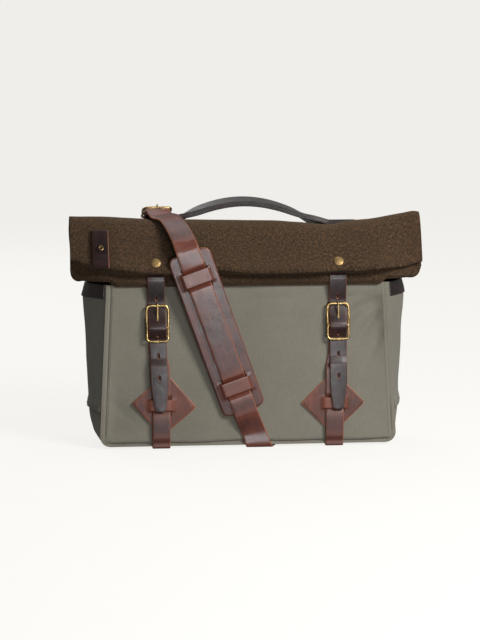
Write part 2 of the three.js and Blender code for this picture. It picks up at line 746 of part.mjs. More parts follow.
function diamondPatch(row) {
  const turn = (row[5] * Math.PI) / 180;
  const aside = row[0] * strapSpacing * row[4] - lowerMiddle(row);
  const corners = [0, 1, 2, 3].map((k) => {
    const angle = (k * Math.PI) / 2 - turn;
    const [across, up] = [diamondReach * Math.cos(angle), diamondReach * Math.sin(angle)];
    return new THREE.Vector2(aside + across, diamondHeight + up);
  });
  const strap = { width: lowerStrapWidth, thickness: strapThickness };
  const plate = wovenPlate(new THREE.Shape(corners), diamondThickness, plateLift, strap, [diamondHeight],
    bridgeHeight);
  return onFront(plate, lowerMiddle(row));
}

// Turns with the front's lean at a height
function frontLean(x, z) {
  const step = canvasHeight / 100;
  return Math.atan((frontDepth(x, z + step) - frontDepth(x, z - step)) / (2 * step));
}

function handleBody() {
  const half = handleLength / 2;
  const shares = [-1, -0.93, -0.86, -0.79, -0.7, -0.6, -0.5, -0.4, -0.3, -0.2, -0.1];
  const stations = [...shares, 0, ...[...shares].reverse().map((share) => -share)];
  const frame = stations.map((share) => handleFrame(share * half));
  const line = frame.map(({ z }, i) => [stations[i] * half, z]);
  const upper = offsetLine(line, -handleThickness / 2);
  const lower = offsetLine(line, handleThickness / 2);
  const at = (faces) => (i, j) => {
    const across = (j - 1) * (handleWidth / 2);
    const [x, z] = faces[i];
    const rise = z - line[i][1];
    const { tilt, y } = frame[i];
    return [x, y + across * Math.cos(tilt) + rise * Math.sin(tilt),
      line[i][1] + rise * Math.cos(tilt) - across * Math.sin(tilt)];
  };
  return sheet(line.length - 1, 2, at(upper), at(lower));
}

// The handle's ends lie on the wool's back slope; between them it arches
function tabSeat(x) {
  const line = tweedLine(x);
  const tilt = Math.atan2(line[6][1] - line[4][1], line[4][0] - line[6][0]);
  const lift = tweedThickness / 2 + fit + handleThickness / 2;
  return { y: line[5][0], z: line[5][1] + lift / Math.cos(tilt), tilt };
}

function handleFrame(x) {
  const ends = [-1, 1].map((side) => {
    const seats = [handleArchLength, handleLength].map((length) => tabSeat((side * length) / 2));
    return seats[0].z > seats[1].z ? seats[0] : seats[1];
  });
  const share = x / handleLength + 0.5;
  const tilt = mix(ends[0].tilt, ends[1].tilt, share);
  const fromTop = Math.min(1, (2 * Math.abs(x - handleShift)) / handleArchLength);
  const arch = (1 - fromTop ** 2) ** 1.3;
  return {
    y: mix(ends[0].y, ends[1].y, share),
    z: mix(ends[0].z, ends[1].z, smooth(share * 1.4 - 0.2)) + handleRise * arch,
    tilt: tilt * (1 - smooth(arch * 1.6)),
  };
}

// The shoulder strap's route round the bag: columns are y, z, x, and 1 where it folds parallel to the
// bag's edge. It is the surface that the strap lies on, from its hidden left end on the back, over the
// handle's end and the ridge, down the front, under the base and up the back.
const backFace = (z) => backDepth(0, z) + fit;
const foldHeight = canvasHeight * 0.093;
const backFoldHeight = canvasHeight * 0.155;

function wrapRoute() {
  const tab = handleFrame(-strapSpacing * 0.42);
  const half = handleWidth / 2;
  const tabTop = (side) => [
    tab.y + side * half * Math.cos(tab.tilt),
    tab.z - side * half * Math.sin(tab.tilt) + handleThickness / 2 / Math.cos(tab.tilt) + fit,
  ];
  const [backY, backZ] = tabTop(1.25);
  const [frontY, frontZ] = tabTop(-1.65);
  const flapFace = flapLine(-strapSpacing * 0.3);
  const edge = flapFace[flapFace.length - 1];
  const padLine = (z) => edge[0] - tweedThickness * 0.5 - fit * 2 + (edge[1] - z) * padLean;
  const padTop = ridgeHeight - flapHeight * 0.56;
  const padFoot = padTop - padLength * padDrop;
  const tweedBack = backFace(hemHeight) + tweedThickness + fit;
  return [
    [backFace(canvasHeight * 0.84), canvasHeight * 0.84, -0.302, 0],
    [backFace(canvasHeight * 0.9), canvasHeight * 0.93, -0.299, 0],
    [tweedBack, hemHeight + hemOverlap, -0.288, 0],
    [tweedBack, mix(hemHeight, ridgeHeight, 0.58), -0.268, 0],
    [backY + shoulderRise * 1.1, backZ - shoulderRise * 1.55, -0.25, 0],
    [backY, backZ + shoulderRise * 0.5, -0.248, 1],
    [frontY, frontZ + shoulderRise, -0.248, 1],
    [ridgeY - shoulderRise, ridgeHeight + shoulderRise, -0.24, 0],
    [ridgeY - flapReach * 0.3, ridgeHeight + shoulderRise * 0.3, -0.219, 0],
    [ridgeY - flapReach * 0.66, mix(flapEdgeHeight, ridgeHeight, 0.83), -0.199, 0],
    [padLine(padTop) + shoulderThickness, padTop + shoulderWidth * 0.32, -0.184, 0],
    [padLine(padTop), padTop, -0.176, 0],
    [padLine(padFoot), padFoot, -0.009, 0],
    [-frontDepth(0, foldHeight), foldHeight, 0.014, 0.5],
    [-frontDepth(0, baseHeight), baseHeight, 0.03, 1],
    [backDepth(0, baseHeight), baseHeight, 0.114, 1],
    [backDepth(0, backFoldHeight), backFoldHeight, 0.138, 0],
    [backFace(canvasHeight * 0.5) - fit, canvasHeight * 0.5, 0.2, 0],
    [backFace(canvasHeight * 0.92) - fit, canvasHeight * 0.92, 0.272, 0],
  ].map(([y, z, x, fold]) => ({ point: new THREE.Vector3(x * tweedWidth, y, z), fold }));
}

const route = wrapRoute();
const routeLength = [0];
for (let i = 1; i < route.length; i++) {
  routeLength.push(routeLength[i - 1] + route[i].point.distanceTo(route[i - 1].point));
}

// Directions at a distance along the route: along it, out from the bag and across the strap
function wrapFrame(distance) {
  const last = route.length - 1;
  const at = routeLength.findIndex((length) => Math.abs(length - distance) < 1e-6);
  const beyond = routeLength.findIndex((length) => length > distance);
  const next = at >= 0 ? at : Math.min(last, Math.max(1, beyond));
  const from = at >= 0 ? Math.max(0, at - 1) : next - 1;
  const to = at >= 0 ? Math.min(last, at + 1) : next;
  const legs = at > 0 && at < last ? [[from, at], [at, to]] : [[from, to]];
  const along = new THREE.Vector3();
  const out = new THREE.Vector3();
  const normals = legs.map(([a, b]) => {
    const leg = route[b].point.clone().sub(route[a].point).normalize();
    const normal = new THREE.Vector3(0, leg.z, -leg.y).normalize();
    along.add(leg);
    out.add(normal);
    return normal;
  });
  along.normalize();
  out.normalize();
  const stretch = 1 / Math.max(0.6, out.dot(normals[0]));
  const across = out.clone().cross(along).normalize();
  const share = (distance - routeLength[from]) / (routeLength[to] - routeLength[from]);
  const point = at >= 0 ? route[at].point.clone() : route[from].point.clone().lerp(route[to].point, share);
  const fold = at >= 0 ? route[at].fold : mix(route[from].fold, route[to].fold, share);
  across.lerp(new THREE.Vector3(1 / across.x, 0, 0), fold);
  return { point, along, out, across, stretch };
}

function wrapPoint([distance, level], share, width) {
  const { point, out, across, stretch } = wrapFrame(distance);
  return point.addScaledVector(out, level * stretch).addScaledVector(across, (share * width) / 2).toArray();
}

// Fills a list of [distance, level] rows with the route's own corners
function withCorners(rows, from, to) {
  const corners = routeLength.filter((length) => length > from + 0.5 && length < to - 0.5
    && rows.every(([distance]) => Math.abs(distance - length) > 0.5));
  return [...rows, ...corners.map((length) => [length, readTable(rows, length)])].sort((a, b) => a[0] - b[0]);
}

// Places on the route
const shoulderBuckle = buckleLevels(shoulderThickness);
const shoulderBuckleWidth = shoulderWidth + rodRadius * 2 + fit * 4 + bucklePlay;
const buckleAt = mix(routeLength[5], routeLength[6], 0.405);
const padStart = routeLength[11] + fit * 4;
const padBridge = bridgeHeight * 1.3;
const bridgeInset = padLength * 0.158;
const shoulderLying = fit + shoulderThickness / 2;
const overPad = fit * 3 + padThickness + shoulderThickness / 2;
const padBridges = [bridgeInset, padLength - bridgeInset];
const tipAt = buckleAt - shoulderBuckle.lower - shoulderTipLength;

function shoulderStrap() {
  const through = throughRows(shoulderBuckle, shoulderThickness)
    .map(([along, level]) => [buckleAt + along, level]);
  const overShort = shoulderLying + shoulderThickness + fit * 3.5;
  const weave = padBridges.flatMap((middle) => {
    const near = padBridge / 2 + 0.3;
    const far = padBridge / 2 + slotHeight - shoulderThickness * 0.5;
    return [[-far, overPad], [-near, shoulderLying], [near, shoulderLying], [far, overPad]]
      .map(([along, level]) => [padStart + middle + along, level]);
  });
  const end = routeLength[route.length - 1];
  const rows = withCorners([
    [tipAt, overShort],
    [tipAt + shoulderTipTaper, overShort],
    ...[...through].reverse(),
    [padStart - shoulderThickness * 5, shoulderLying + fit * 3],
    [padStart - shoulderThickness * 1.6, overPad],
    ...weave,
    [padStart + padLength + shoulderThickness * 0.8, overPad],
    [routeLength[13], shoulderLying],
    [end, shoulderLying],
  ], tipAt, end);
  const taper = (distance) => clamp01((tipAt + shoulderTipTaper - distance) / shoulderTipTaper);
  const width = ([distance]) => shoulderWidth * mix(1, 0.55, taper(distance));
  return ribbon(rows, shoulderThickness, (row, i, share) =>
    wrapPoint([rows[i][0], row[1]], share, width(rows[i])));
}

function inBuckleFrame(geometry) {
  const { point, along, out } = wrapFrame(buckleAt);
  const up = along.clone();
  const down = out.clone().negate();
  const basis = new THREE.Matrix4().makeBasis(down.clone().cross(up), down, up).setPosition(point);
  return geometry.applyMatrix4(basis);
}

function shortStrap() {
  const chape = chapeRows(shoulderBuckle).map(([along, level]) => [buckleAt + along, level]);
  const keeperStart = buckleAt - shoulderBuckle.lower - shoulderThickness * 1.8;
  const beneath = [0, tipAt, tipAt + shoulderTipTaper, keeperStart];
  const lowest = beneath.map((distance) => [distance, shoulderLying]);
  const flat = withCorners([...lowest, chape[0]], 0, chape[0][0]);
  const rows = [...flat, ...chape.slice(1)];
  const body = ribbon(rows, shoulderThickness, (row, i, share) =>
    wrapPoint([i < flat.length ? rows[i][0] : row[0], row[1]], share, shoulderWidth));
  return cut(body, [inBuckleFrame(ringSlot(shoulderBuckle))]);
}

function prongSlot() {
  const reach = shoulderBuckle.wrap * 2.4 + holeWidth * 2;
  return inBuckleFrame(block(
    [-prongRadius - fit, -shoulderBuckle.over * 2, shoulderBuckle.wrap * 0.75],
    [prongRadius + fit, shoulderBuckle.over, reach],
  ));
}

function shoulderPad() {
  const [w, h, r] = [padWidth / 2, padLength / 2, padCornerRadius];
  const shape = new THREE.Shape();
  shape.moveTo(-w + r, -h).lineTo(w - r, -h).absarc(w - r, -h + r, r, -Math.PI / 2, 0, false);
  shape.lineTo(w, h - r).absarc(w - r, h - r, r, 0, Math.PI / 2, false);
  shape.lineTo(-w + r, h).absarc(-w + r, h - r, r, Math.PI / 2, Math.PI, false);
  shape.lineTo(-w, -h + r).absarc(-w + r, -h + r, r, Math.PI, Math.PI * 1.5, false);
  const strap = { width: shoulderWidth, thickness: shoulderThickness };
  const bridges = padBridges.map((middle) => padLength / 2 - middle);
  const plate = wovenPlate(shape, padThickness, fit, strap, bridges, padBridge);
  const { point, along, out } = wrapFrame(padStart + padLength / 2);
  const up = along.clone().negate();
  const down = out.clone().negate();
  const basis = new THREE.Matrix4().makeBasis(down.clone().cross(up), down, up);
  return plate.applyMatrix4(basis.setPosition(point));
}

// The tag: a strip folded at its foot, lying on the flap
const tagX = -tweedWidth * 0.416;

function tagBody() {
  const foot = flapEdgeHeight + flapHeight * 0.13;
  const top = foot + tagLength;
  const first = fit * 1.5 + tagThickness / 2;
  const outer = first + tagThickness + fit;
  const turn = (outer - first) / 2;
  const middle = (first + outer) / 2;
  const line = [
    [top, first], [mix(foot, top, 0.66), first], [mix(foot, top, 0.33), first], [foot + turn * 2, first],
    ...[-55, -18, 18, 55].map((angle) => (angle * Math.PI) / 180)
      .map((angle) => [foot + turn * 1.6 - turn * 1.6 * Math.cos(angle), middle + turn * Math.sin(angle)]),
    [foot + turn * 2, outer], [mix(foot, top, 0.33), outer], [mix(foot, top, 0.66), outer], [top, outer],
  ];
  return ribbon(line, tagThickness, ([z, level], i, share) => {
    const x = tagX + (share * tagWidth) / 2;
    const face = offsetLine(flapLine(x), tweedThickness / 2);
    const slope = Math.abs(depthAt(face, z + 2) - depthAt(face, z - 2)) / 4;
    return [x, depthAt(face, z) - level * Math.hypot(1, slope), z];
  }, 3);
}

// Rivets: where each one sits, how it is turned, what its post passes through and how far it goes
function flapSeat(x, z, out) {
  const face = offsetLine(flapLine(x), tweedThickness / 2);
  const lean = -Math.atan2(depthAt(face, z + 2) - depthAt(face, z - 2), 4);
  return { at: [x, depthAt(face, z) - out / Math.cos(lean), z], turn: [lean, 0, 0] };
}

const doubledWool = layerPitch + tweedThickness;

function rivetList() {
  const list = [];
  const backTurn = [0, 0, Math.PI];
  for (const row of fasteningRows) {
    const side = row[0] < 0 ? 'left' : 'right';
    const x = strapMiddle(row, flapEdgeHeight);
    list.push({
      name: `flap_rivet_${side}`, ...flapSeat(x, flapEdgeHeight + flapHeight * 0.2, 0), radius: rivetRadius,
      through: ['tweed_top', `flap_strap_${side}`], post: doubledWool + fit + strapThickness,
    });
    const z = lowerStrapEnd - rivetRadius * 1.4;
    list.push({
      name: `lower_rivet_${side}`, turn: backTurn, radius: rivetRadius * 0.8,
      at: [lowerMiddle(row), backDepth(lowerMiddle(row), z) + lying + strapThickness / 2, z],
      through: ['back_panel', `lower_strap_${side}`], post: strapThickness + fit + canvasThickness + fit,
    });
  }
  const tagStack = fit * 2.5 + tagThickness * 2;
  list.push({
    name: 'tag_rivet', ...flapSeat(tagX, flapEdgeHeight + flapHeight * 0.5, tagStack + fit * 3),
    radius: rivetRadius * 0.62,
    through: ['tag', 'tweed_top'], post: tagStack + doubledWool + fit * 2,
  });
  [-0.478, -0.44, 0.44, 0.478].forEach((share, i) => {
    const x = share * handleLength;
    const { y, z, tilt } = handleFrame(x);
    const up = handleThickness / 2;
    list.push({
      name: `handle_rivet_${i + 1}`, turn: [-Math.PI / 2 - tilt, 0, 0], radius: rivetRadius * 0.8,
      at: [x, y + up * Math.sin(tilt), z + up * Math.cos(tilt)],
      through: ['handle', 'tweed_top'], post: handleThickness + tweedThickness + fit * 6,
    });
  });
  const end = routeLength[route.length - 1];
  [['left', rivetRadius * 1.5, 'shoulder_strap_short'], ['right', end - rivetRadius * 1.5, 'shoulder_strap']]
    .forEach(([side, distance, strap]) => list.push({
      name: `anchor_rivet_${side}`, turn: backTurn, radius: rivetRadius * 0.8,
      at: wrapPoint([distance, shoulderLying + shoulderThickness / 2], 0, 0),
      through: ['back_panel', strap], post: shoulderThickness + canvasThickness + fit * 3,
    }));
  return list;
}

// The bag, piece by piece
const canvasLook = { color: 0x6e6a60, roughness: 0.95 };
const woolLook = { color: 0x44372a, roughness: 1 };
const darkLeather = { color: 0x3a2626, roughness: 0.5 };
const redLeather = { color: 0x643c34, roughness: 0.45 };
const tanLeather = { color: 0x7d4834, roughness: 0.55 };
const brass = { color: 0xb49664, roughness: 0.35, metalness: 1 };

const pieces = new Map();
const add = (name, geometry, look, seat = {}) => pieces.set(name, { geometry, look, ...seat });

add('front_panel', frontPanel(), canvasLook);
add('back_panel', backPanel(), canvasLook);
add('base_panel', basePanel(), canvasLook);
add('tweed_top', tweedBody(), woolLook);
for (const [side, name] of [[-1, 'left'], [1, 'right']]) {
  add(`gusset_${name}`, gusset(side), canvasLook);
  add(`gusset_patch_${name}`, gussetPatch(side), darkLeather);
}
for (const row of fasteningRows) {
  const side = row[0] < 0 ? 'left' : 'right';
  const x = strapMiddle(row, buckleCentreHeight);
  const seat = {
    at: [x, -frontDepth(x, buckleCentreHeight), buckleCentreHeight],
    turn: [frontLean(x, buckleCentreHeight), 0, 0],
  };
  add(`flap_strap_${side}`, flapStrap(row), darkLeather);
  add(`lower_strap_${side}`, lowerStrap(row), redLeather);
  add(`diamond_patch_${side}`, diamondPatch(row), tanLeather);
  add(`buckle_frame_${side}`, buckleFrame(buckleWidth, buckle), brass, seat);
  add(`prong_${side}`, prong(buckle), brass, seat);
}
add('handle', handleBody(), darkLeather);
add('shoulder_strap', cut(shoulderStrap(), [prongSlot()]), redLeather);
add('shoulder_strap_short', shortStrap(), redLeather);
add('shoulder_pad', shoulderPad(), redLeather);
add('shoulder_buckle_frame', inBuckleFrame(buckleFrame(shoulderBuckleWidth, shoulderBuckle)), brass);
add('shoulder_prong', inBuckleFrame(prong(shoulderBuckle)), brass);
add('tag', tagBody(), darkLeather);

// Each rivet's post has its own hole through what it fastens
for (const { name, at, turn, radius, post, through } of rivetList()) {
  const placed = new THREE.Matrix4().makeRotationFromEuler(new THREE.Euler(...turn)).setPosition(...at);
  const hole = bar([0, -1, 0], [0, post + 2, 0], (postRadius + fit) * 1.12, 6).applyMatrix4(placed);
  for (const node of through) pieces.get(node).geometry = cut(pieces.get(node).geometry, [hole]);
  add(name, rivet(radius, rivetHeight * (radius / rivetRadius), post), brass, { at, turn });
}

const bag = new THREE.Group();
for (const [name, { geometry, look, at = [0, 0, 0], turn = [0, 0, 0] }] of pieces) {
  const mesh = new THREE.Mesh(geometry, new THREE.MeshStandardMaterial(look));
  mesh.name = name;
  mesh.position.set(...at);
  mesh.rotation.set(...turn);
  bag.add(mesh);
}

// The origin is under the middle of the bag's box, on the surface that it stands on
const box = new THREE.Box3().setFromObject(bag, true);
bag.position.set(-(box.min.x + box.max.x) / 2, -(box.min.y + box.max.y) / 2, -box.min.z);

export default bag;
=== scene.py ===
import math

import bpy
import numpy as np
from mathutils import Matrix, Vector


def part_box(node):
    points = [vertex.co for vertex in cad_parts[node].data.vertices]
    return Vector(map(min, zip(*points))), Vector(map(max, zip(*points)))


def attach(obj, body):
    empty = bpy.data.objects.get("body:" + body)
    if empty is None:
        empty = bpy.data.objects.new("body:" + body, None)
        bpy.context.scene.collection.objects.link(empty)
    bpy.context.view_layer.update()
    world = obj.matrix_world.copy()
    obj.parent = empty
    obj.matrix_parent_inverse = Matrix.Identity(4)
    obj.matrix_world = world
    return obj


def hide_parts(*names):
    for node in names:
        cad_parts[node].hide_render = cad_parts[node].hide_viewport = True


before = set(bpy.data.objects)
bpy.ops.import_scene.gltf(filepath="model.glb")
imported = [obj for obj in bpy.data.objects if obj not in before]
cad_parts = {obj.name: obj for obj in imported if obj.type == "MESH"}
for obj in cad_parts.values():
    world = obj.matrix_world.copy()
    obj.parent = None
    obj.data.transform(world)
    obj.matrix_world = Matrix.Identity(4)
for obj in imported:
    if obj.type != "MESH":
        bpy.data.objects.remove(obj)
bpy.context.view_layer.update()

# The bag's sizes in millimetres, as the CAD model has them; y is taken from the seams' middle plane
FIT = 0.35
SEAM_BOTTOM, SEAM_TOP = 354, 335
BODY_DEPTH, TOP_DEPTH = 106, 88
CANVAS_TOP, CANVAS = 194, 2
CORNER = 13
WRAP_HEIGHT, WRAP_LAP = 44, 5
TWEED_WIDTH, WOOL = 418, 2
RIDGE, FLAP_EDGE, FLAP_REACH = 268, 209, 54
PITCH, HEM = 2.7, 190
STRAP, FLAP_STRAP_WIDTH, LOWER_WIDTH = 2.2, 20.6, 21.2
SPACING = 213
TIP_Z, TIP_TAPER, TIP_WIDTH = 45, 34, 13
DIAMOND, DIAMOND_Z, DIAMOND_THICK = 54, 52, 2
BRIDGE, SLOT = 12.5, 6.5
SHOULDER, SHOULDER_THICK = 28, 2.4
PAD_WIDTH, PAD_LENGTH, PAD_THICK, PAD_CORNER = 51, 202, 2.6, 9
TAG_WIDTH, TAG_LENGTH, TAG_THICK = 18.6, 41, 1.8
HANDLE, HANDLE_WIDTH, HANDLE_THICK, HANDLE_RISE, HANDLE_ARCH, HANDLE_SHIFT = 284, 32, 6.8, 28.8, 198, 4
BUCKLE_WIDTH, BUCKLE_HEIGHT, BUCKLE_Z = 28.4, 44.7, 144
ROD, TOP_BAR, CENTRE_BAR, PRONG = 1.4, 1.7, 1.5, 1.3
RIVET, RIVET_HEIGHT, POST = 5.8, 2.6, 1.5
LOWER_END, HIDDEN_TOP, ROLL_CORNER, DIAMOND_CORNER = 62, 227, 13, 1.7
SHOULDER_TAIL, SHOULDER_TIP, NUB, FLOOR_GAP = 30, 9, 1.35, 0.02
TAG_X = -TWEED_WIDTH * 0.416
HANDLE_RIVETS = (-0.478, -0.44, 0.44, 0.478)
# Heights of a flap strap's holes above the middle of its buckle, and a hole's half width and half length
HOLE_HEIGHTS = [34.5, 11.7, -8, -33.7, -59.4]
HOLE_HALF = (1.25, 2.7)
# Rows of stitches: from the side seams, above the foot seam, above the sides' hem and the back's hem
SEAM_IN, FOOT_UP, SIDE_HEM_UP, BACK_HEM_UP = 8.6, 3.6, 4.5, 6
BASE = SHOULDER_THICK + FIT
FLAP_HEIGHT = RIDGE - FLAP_EDGE


def clamp01(value):
    """Keeps a value between 0 and 1."""
    return np.clip(value, 0.0, 1.0)


def smooth(value):
    """Smooth step from 0 to 1."""
    value = clamp01(value)
    return value * value * (3 - 2 * value)


def mix(start, end, share):
    return start + (end - start) * share


def cubic(t, start, end, start_slope, end_slope):
    """Cubic from start to end while t goes from 0 to 1, with a slope given at each end."""
    return ((2 * t ** 3 - 3 * t ** 2 + 1) * start + (t ** 3 - 2 * t ** 2 + t) * start_slope
            + (3 * t ** 2 - 2 * t ** 3) * end + (t ** 3 - t ** 2) * end_slope)


def unit(vectors):
    """Vectors of length one with the same directions."""
    return vectors / np.maximum(np.linalg.norm(vectors, axis=-1, keepdims=True), 1e-9)


def with_ends(rows):
    """Rows with the first and the last one repeated."""
    return np.concatenate([rows[:1], rows, rows[-1:]])


def meeting(legs):
    """The legs before and after each point of a line; an end point has its one leg twice."""
    both = with_ends(legs)
    return both[:-1], both[1:]


def read(rows, key, column=1):
    """Cubic curve through a table's rows at a key; its slopes are the mean of the legs on both sides,
    and never steeper than three times the flatter leg."""
    rows = sorted(rows)
    xs = np.array([row[0] for row in rows], float)
    ys = np.array([row[column] for row in rows], float)
    before, after = meeting(np.diff(ys) / np.diff(xs))
    slope = (before + after) / 2
    limit = 3 * np.where(before * after > 0, np.sign(after) * np.minimum(abs(before), abs(after)), 0)
    slope = np.where(abs(slope) > abs(limit), limit, slope)
    key = np.clip(key, xs[0], xs[-1])
    i = np.clip(np.searchsorted(xs, key, side="right") - 1, 0, len(xs) - 2)
    width = xs[i + 1] - xs[i]
    return cubic((key - xs[i]) / width, ys[i], ys[i + 1], width * slope[i], width * slope[i + 1])


def noise(u, v, seed, octaves=3):
    """Smooth random height between -1 and 1: random values on a unit lattice, blended with a smooth
    step between lattice points, summed over octaves of half the size and half the height."""
    values = np.random.default_rng(seed).uniform(-1, 1, (64, 64))
    total, weight = 0.0, 0.0
    for octave in range(octaves):
        x, y = u * 2 ** octave + 7.3 * octave, v * 2 ** octave + 3.1 * octave
        i, j = np.floor(x).astype(int), np.floor(y).astype(int)
        low, high = [mix(values[row % 64, j % 64], values[row % 64, (j + 1) % 64], smooth(y - j))
                     for row in (i, i + 1)]
        total = total + mix(low, high, smooth(x - i)) / 2 ** octave
        weight += 1 / 2 ** octave
    return total / weight


# Meshes: every piece is arrays of points, in millimetres about the seams' middle plane


def facing_out(points, faces):
    """Groups of faces with three or four corners, turned over where the closed body's volume comes out
    negative."""
    volume = sum(np.sum(points[group[:, 0]] * np.cross(points[group[:, k]], points[group[:, k + 1]]))
                 for group in faces for k in range(1, group.shape[1] - 1))
    return [group[:, ::-1] for group in faces] if volume < 0 else faces


def make(name, points, faces, uvs, slot, material, node=None, marks=None):
    """Mesh object from whole arrays of points and of faces, which are turned outwards. The width and
    length map is in metres, and marks are values at the points that the material reads."""
    points = np.asarray(points, float).reshape(-1, 3)
    rows = [row for group in facing_out(points, faces) for row in group.tolist()]
    mesh = bpy.data.meshes.new(name)
    mesh.from_pydata(((points + (0, MIDDLE, 0)) / 1000).tolist(), [], rows)
    layer = mesh.uv_layers.new(name="cloth")
    index = np.empty(len(mesh.loops), dtype=np.int32)
    mesh.loops.foreach_get("vertex_index", index)
    layer.data.foreach_set("uv", (np.asarray(uvs, float).reshape(-1, 2)[index] / 1000).ravel())
    for mark, values in (marks or {}).items():
        attribute = mesh.attributes.new(mark, "FLOAT", "POINT")
        attribute.data.foreach_set("value", np.asarray(values, np.float32).ravel())
    mesh.polygons.foreach_set("use_smooth", [True] * len(mesh.polygons))
    mesh.update()
    mesh.materials.append(material)
    piece = bpy.data.objects.new(name, mesh)
    bpy.context.collection.objects.link(piece)
    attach(piece, "root")
    if node:
        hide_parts(node)
    return piece


def as_grid(x, y, z):
    """Points from their three places, each spread over the whole grid."""
    return np.stack(np.broadcast_arrays(x, y, z), -1)


def lattice(rows, columns, start=0, wrap=False):
    """Corner numbers of the quads of a grid of points; with wrap the last column joins the first."""
    i, j = np.meshgrid(np.arange(rows - 1), np.arange(columns if wrap else columns - 1), indexing="ij")
    after = (j + 1) % columns
    quads = np.stack([i * columns + j, i * columns + after, (i + 1) * columns + after,
                      (i + 1) * columns + j], -1)
    return quads.reshape(-1, 4) + start


def lengths(points, axis):
    """Running length of a grid of points along one axis, from its first row or column."""
    steps = np.linalg.norm(np.diff(points, axis=axis), axis=-1)
    shape = list(steps.shape)
    shape[axis] = 1
    return np.concatenate([np.zeros(shape), np.cumsum(steps, axis=axis)], axis=axis)


def distances(line):
    """Running length of a line of points."""
    return lengths(line[:, None], 0)[:, 0]


def tipped(rings):
    """Points of a stack of closed rings, then a tip in the middle of the first and of the last ring."""
    return np.concatenate([rings.reshape(-1, 3), [rings[0].mean(0), rings[-1].mean(0)]])


def closed_ends(rows, loop):
    """Faces of a stack of closed rings, with a fan to each of the two tips that follow their points."""
    ring, last = np.arange(loop), (rows - 1) * loop
    after, tip = (ring + 1) % loop, np.full(loop, rows * loop)
    fans = np.concatenate([np.stack([tip, after, ring], -1),
                           np.stack([tip + 1, ring + last, after + last], -1)])
    return [lattice(rows, loop, wrap=True)[:, ::-1], fans[:, ::-1]]


def round_rim(piece, size, angle):
    """Rounds a piece's edges that turn by more than an angle in degrees."""
    bevel = piece.modifiers.new("rim", "BEVEL")
    bevel.width, bevel.segments = size / 1000, 2
    bevel.limit_method, bevel.angle_limit = "ANGLE", math.radians(angle)


def slab(name, outer, inner, rim=0.5, **kwargs):
    """Closed thick sheet from its outer and inner grids of points. Its rims are joined edge to edge,
    and rounded by a bevel of the rim's radius."""
    rows, columns = outer.shape[:2]
    count = rows * columns
    i, j = np.arange(rows - 1) * columns, np.arange(columns - 1)
    last = count - columns

    def edge(a, b):
        return np.stack([a, b, b + count, a + count], -1)

    faces = [lattice(rows, columns)[:, ::-1], lattice(rows, columns, count),
             edge(j, j + 1), edge(last + j, last + j + 1)[:, ::-1],
             edge(i, i + columns)[:, ::-1], edge(i + columns - 1, i + columns * 2 - 1)]
    uv = np.stack([lengths(outer, 1) + outer[:, :1, 0], lengths(outer, 0)], -1).reshape(-1, 2)
    points = np.concatenate([outer.reshape(-1, 3), inner.reshape(-1, 3)])
    piece = make(name, points, [np.concatenate(faces)], np.concatenate([uv, uv]), **kwargs)
    round_rim(piece, rim, 50)
    return piece


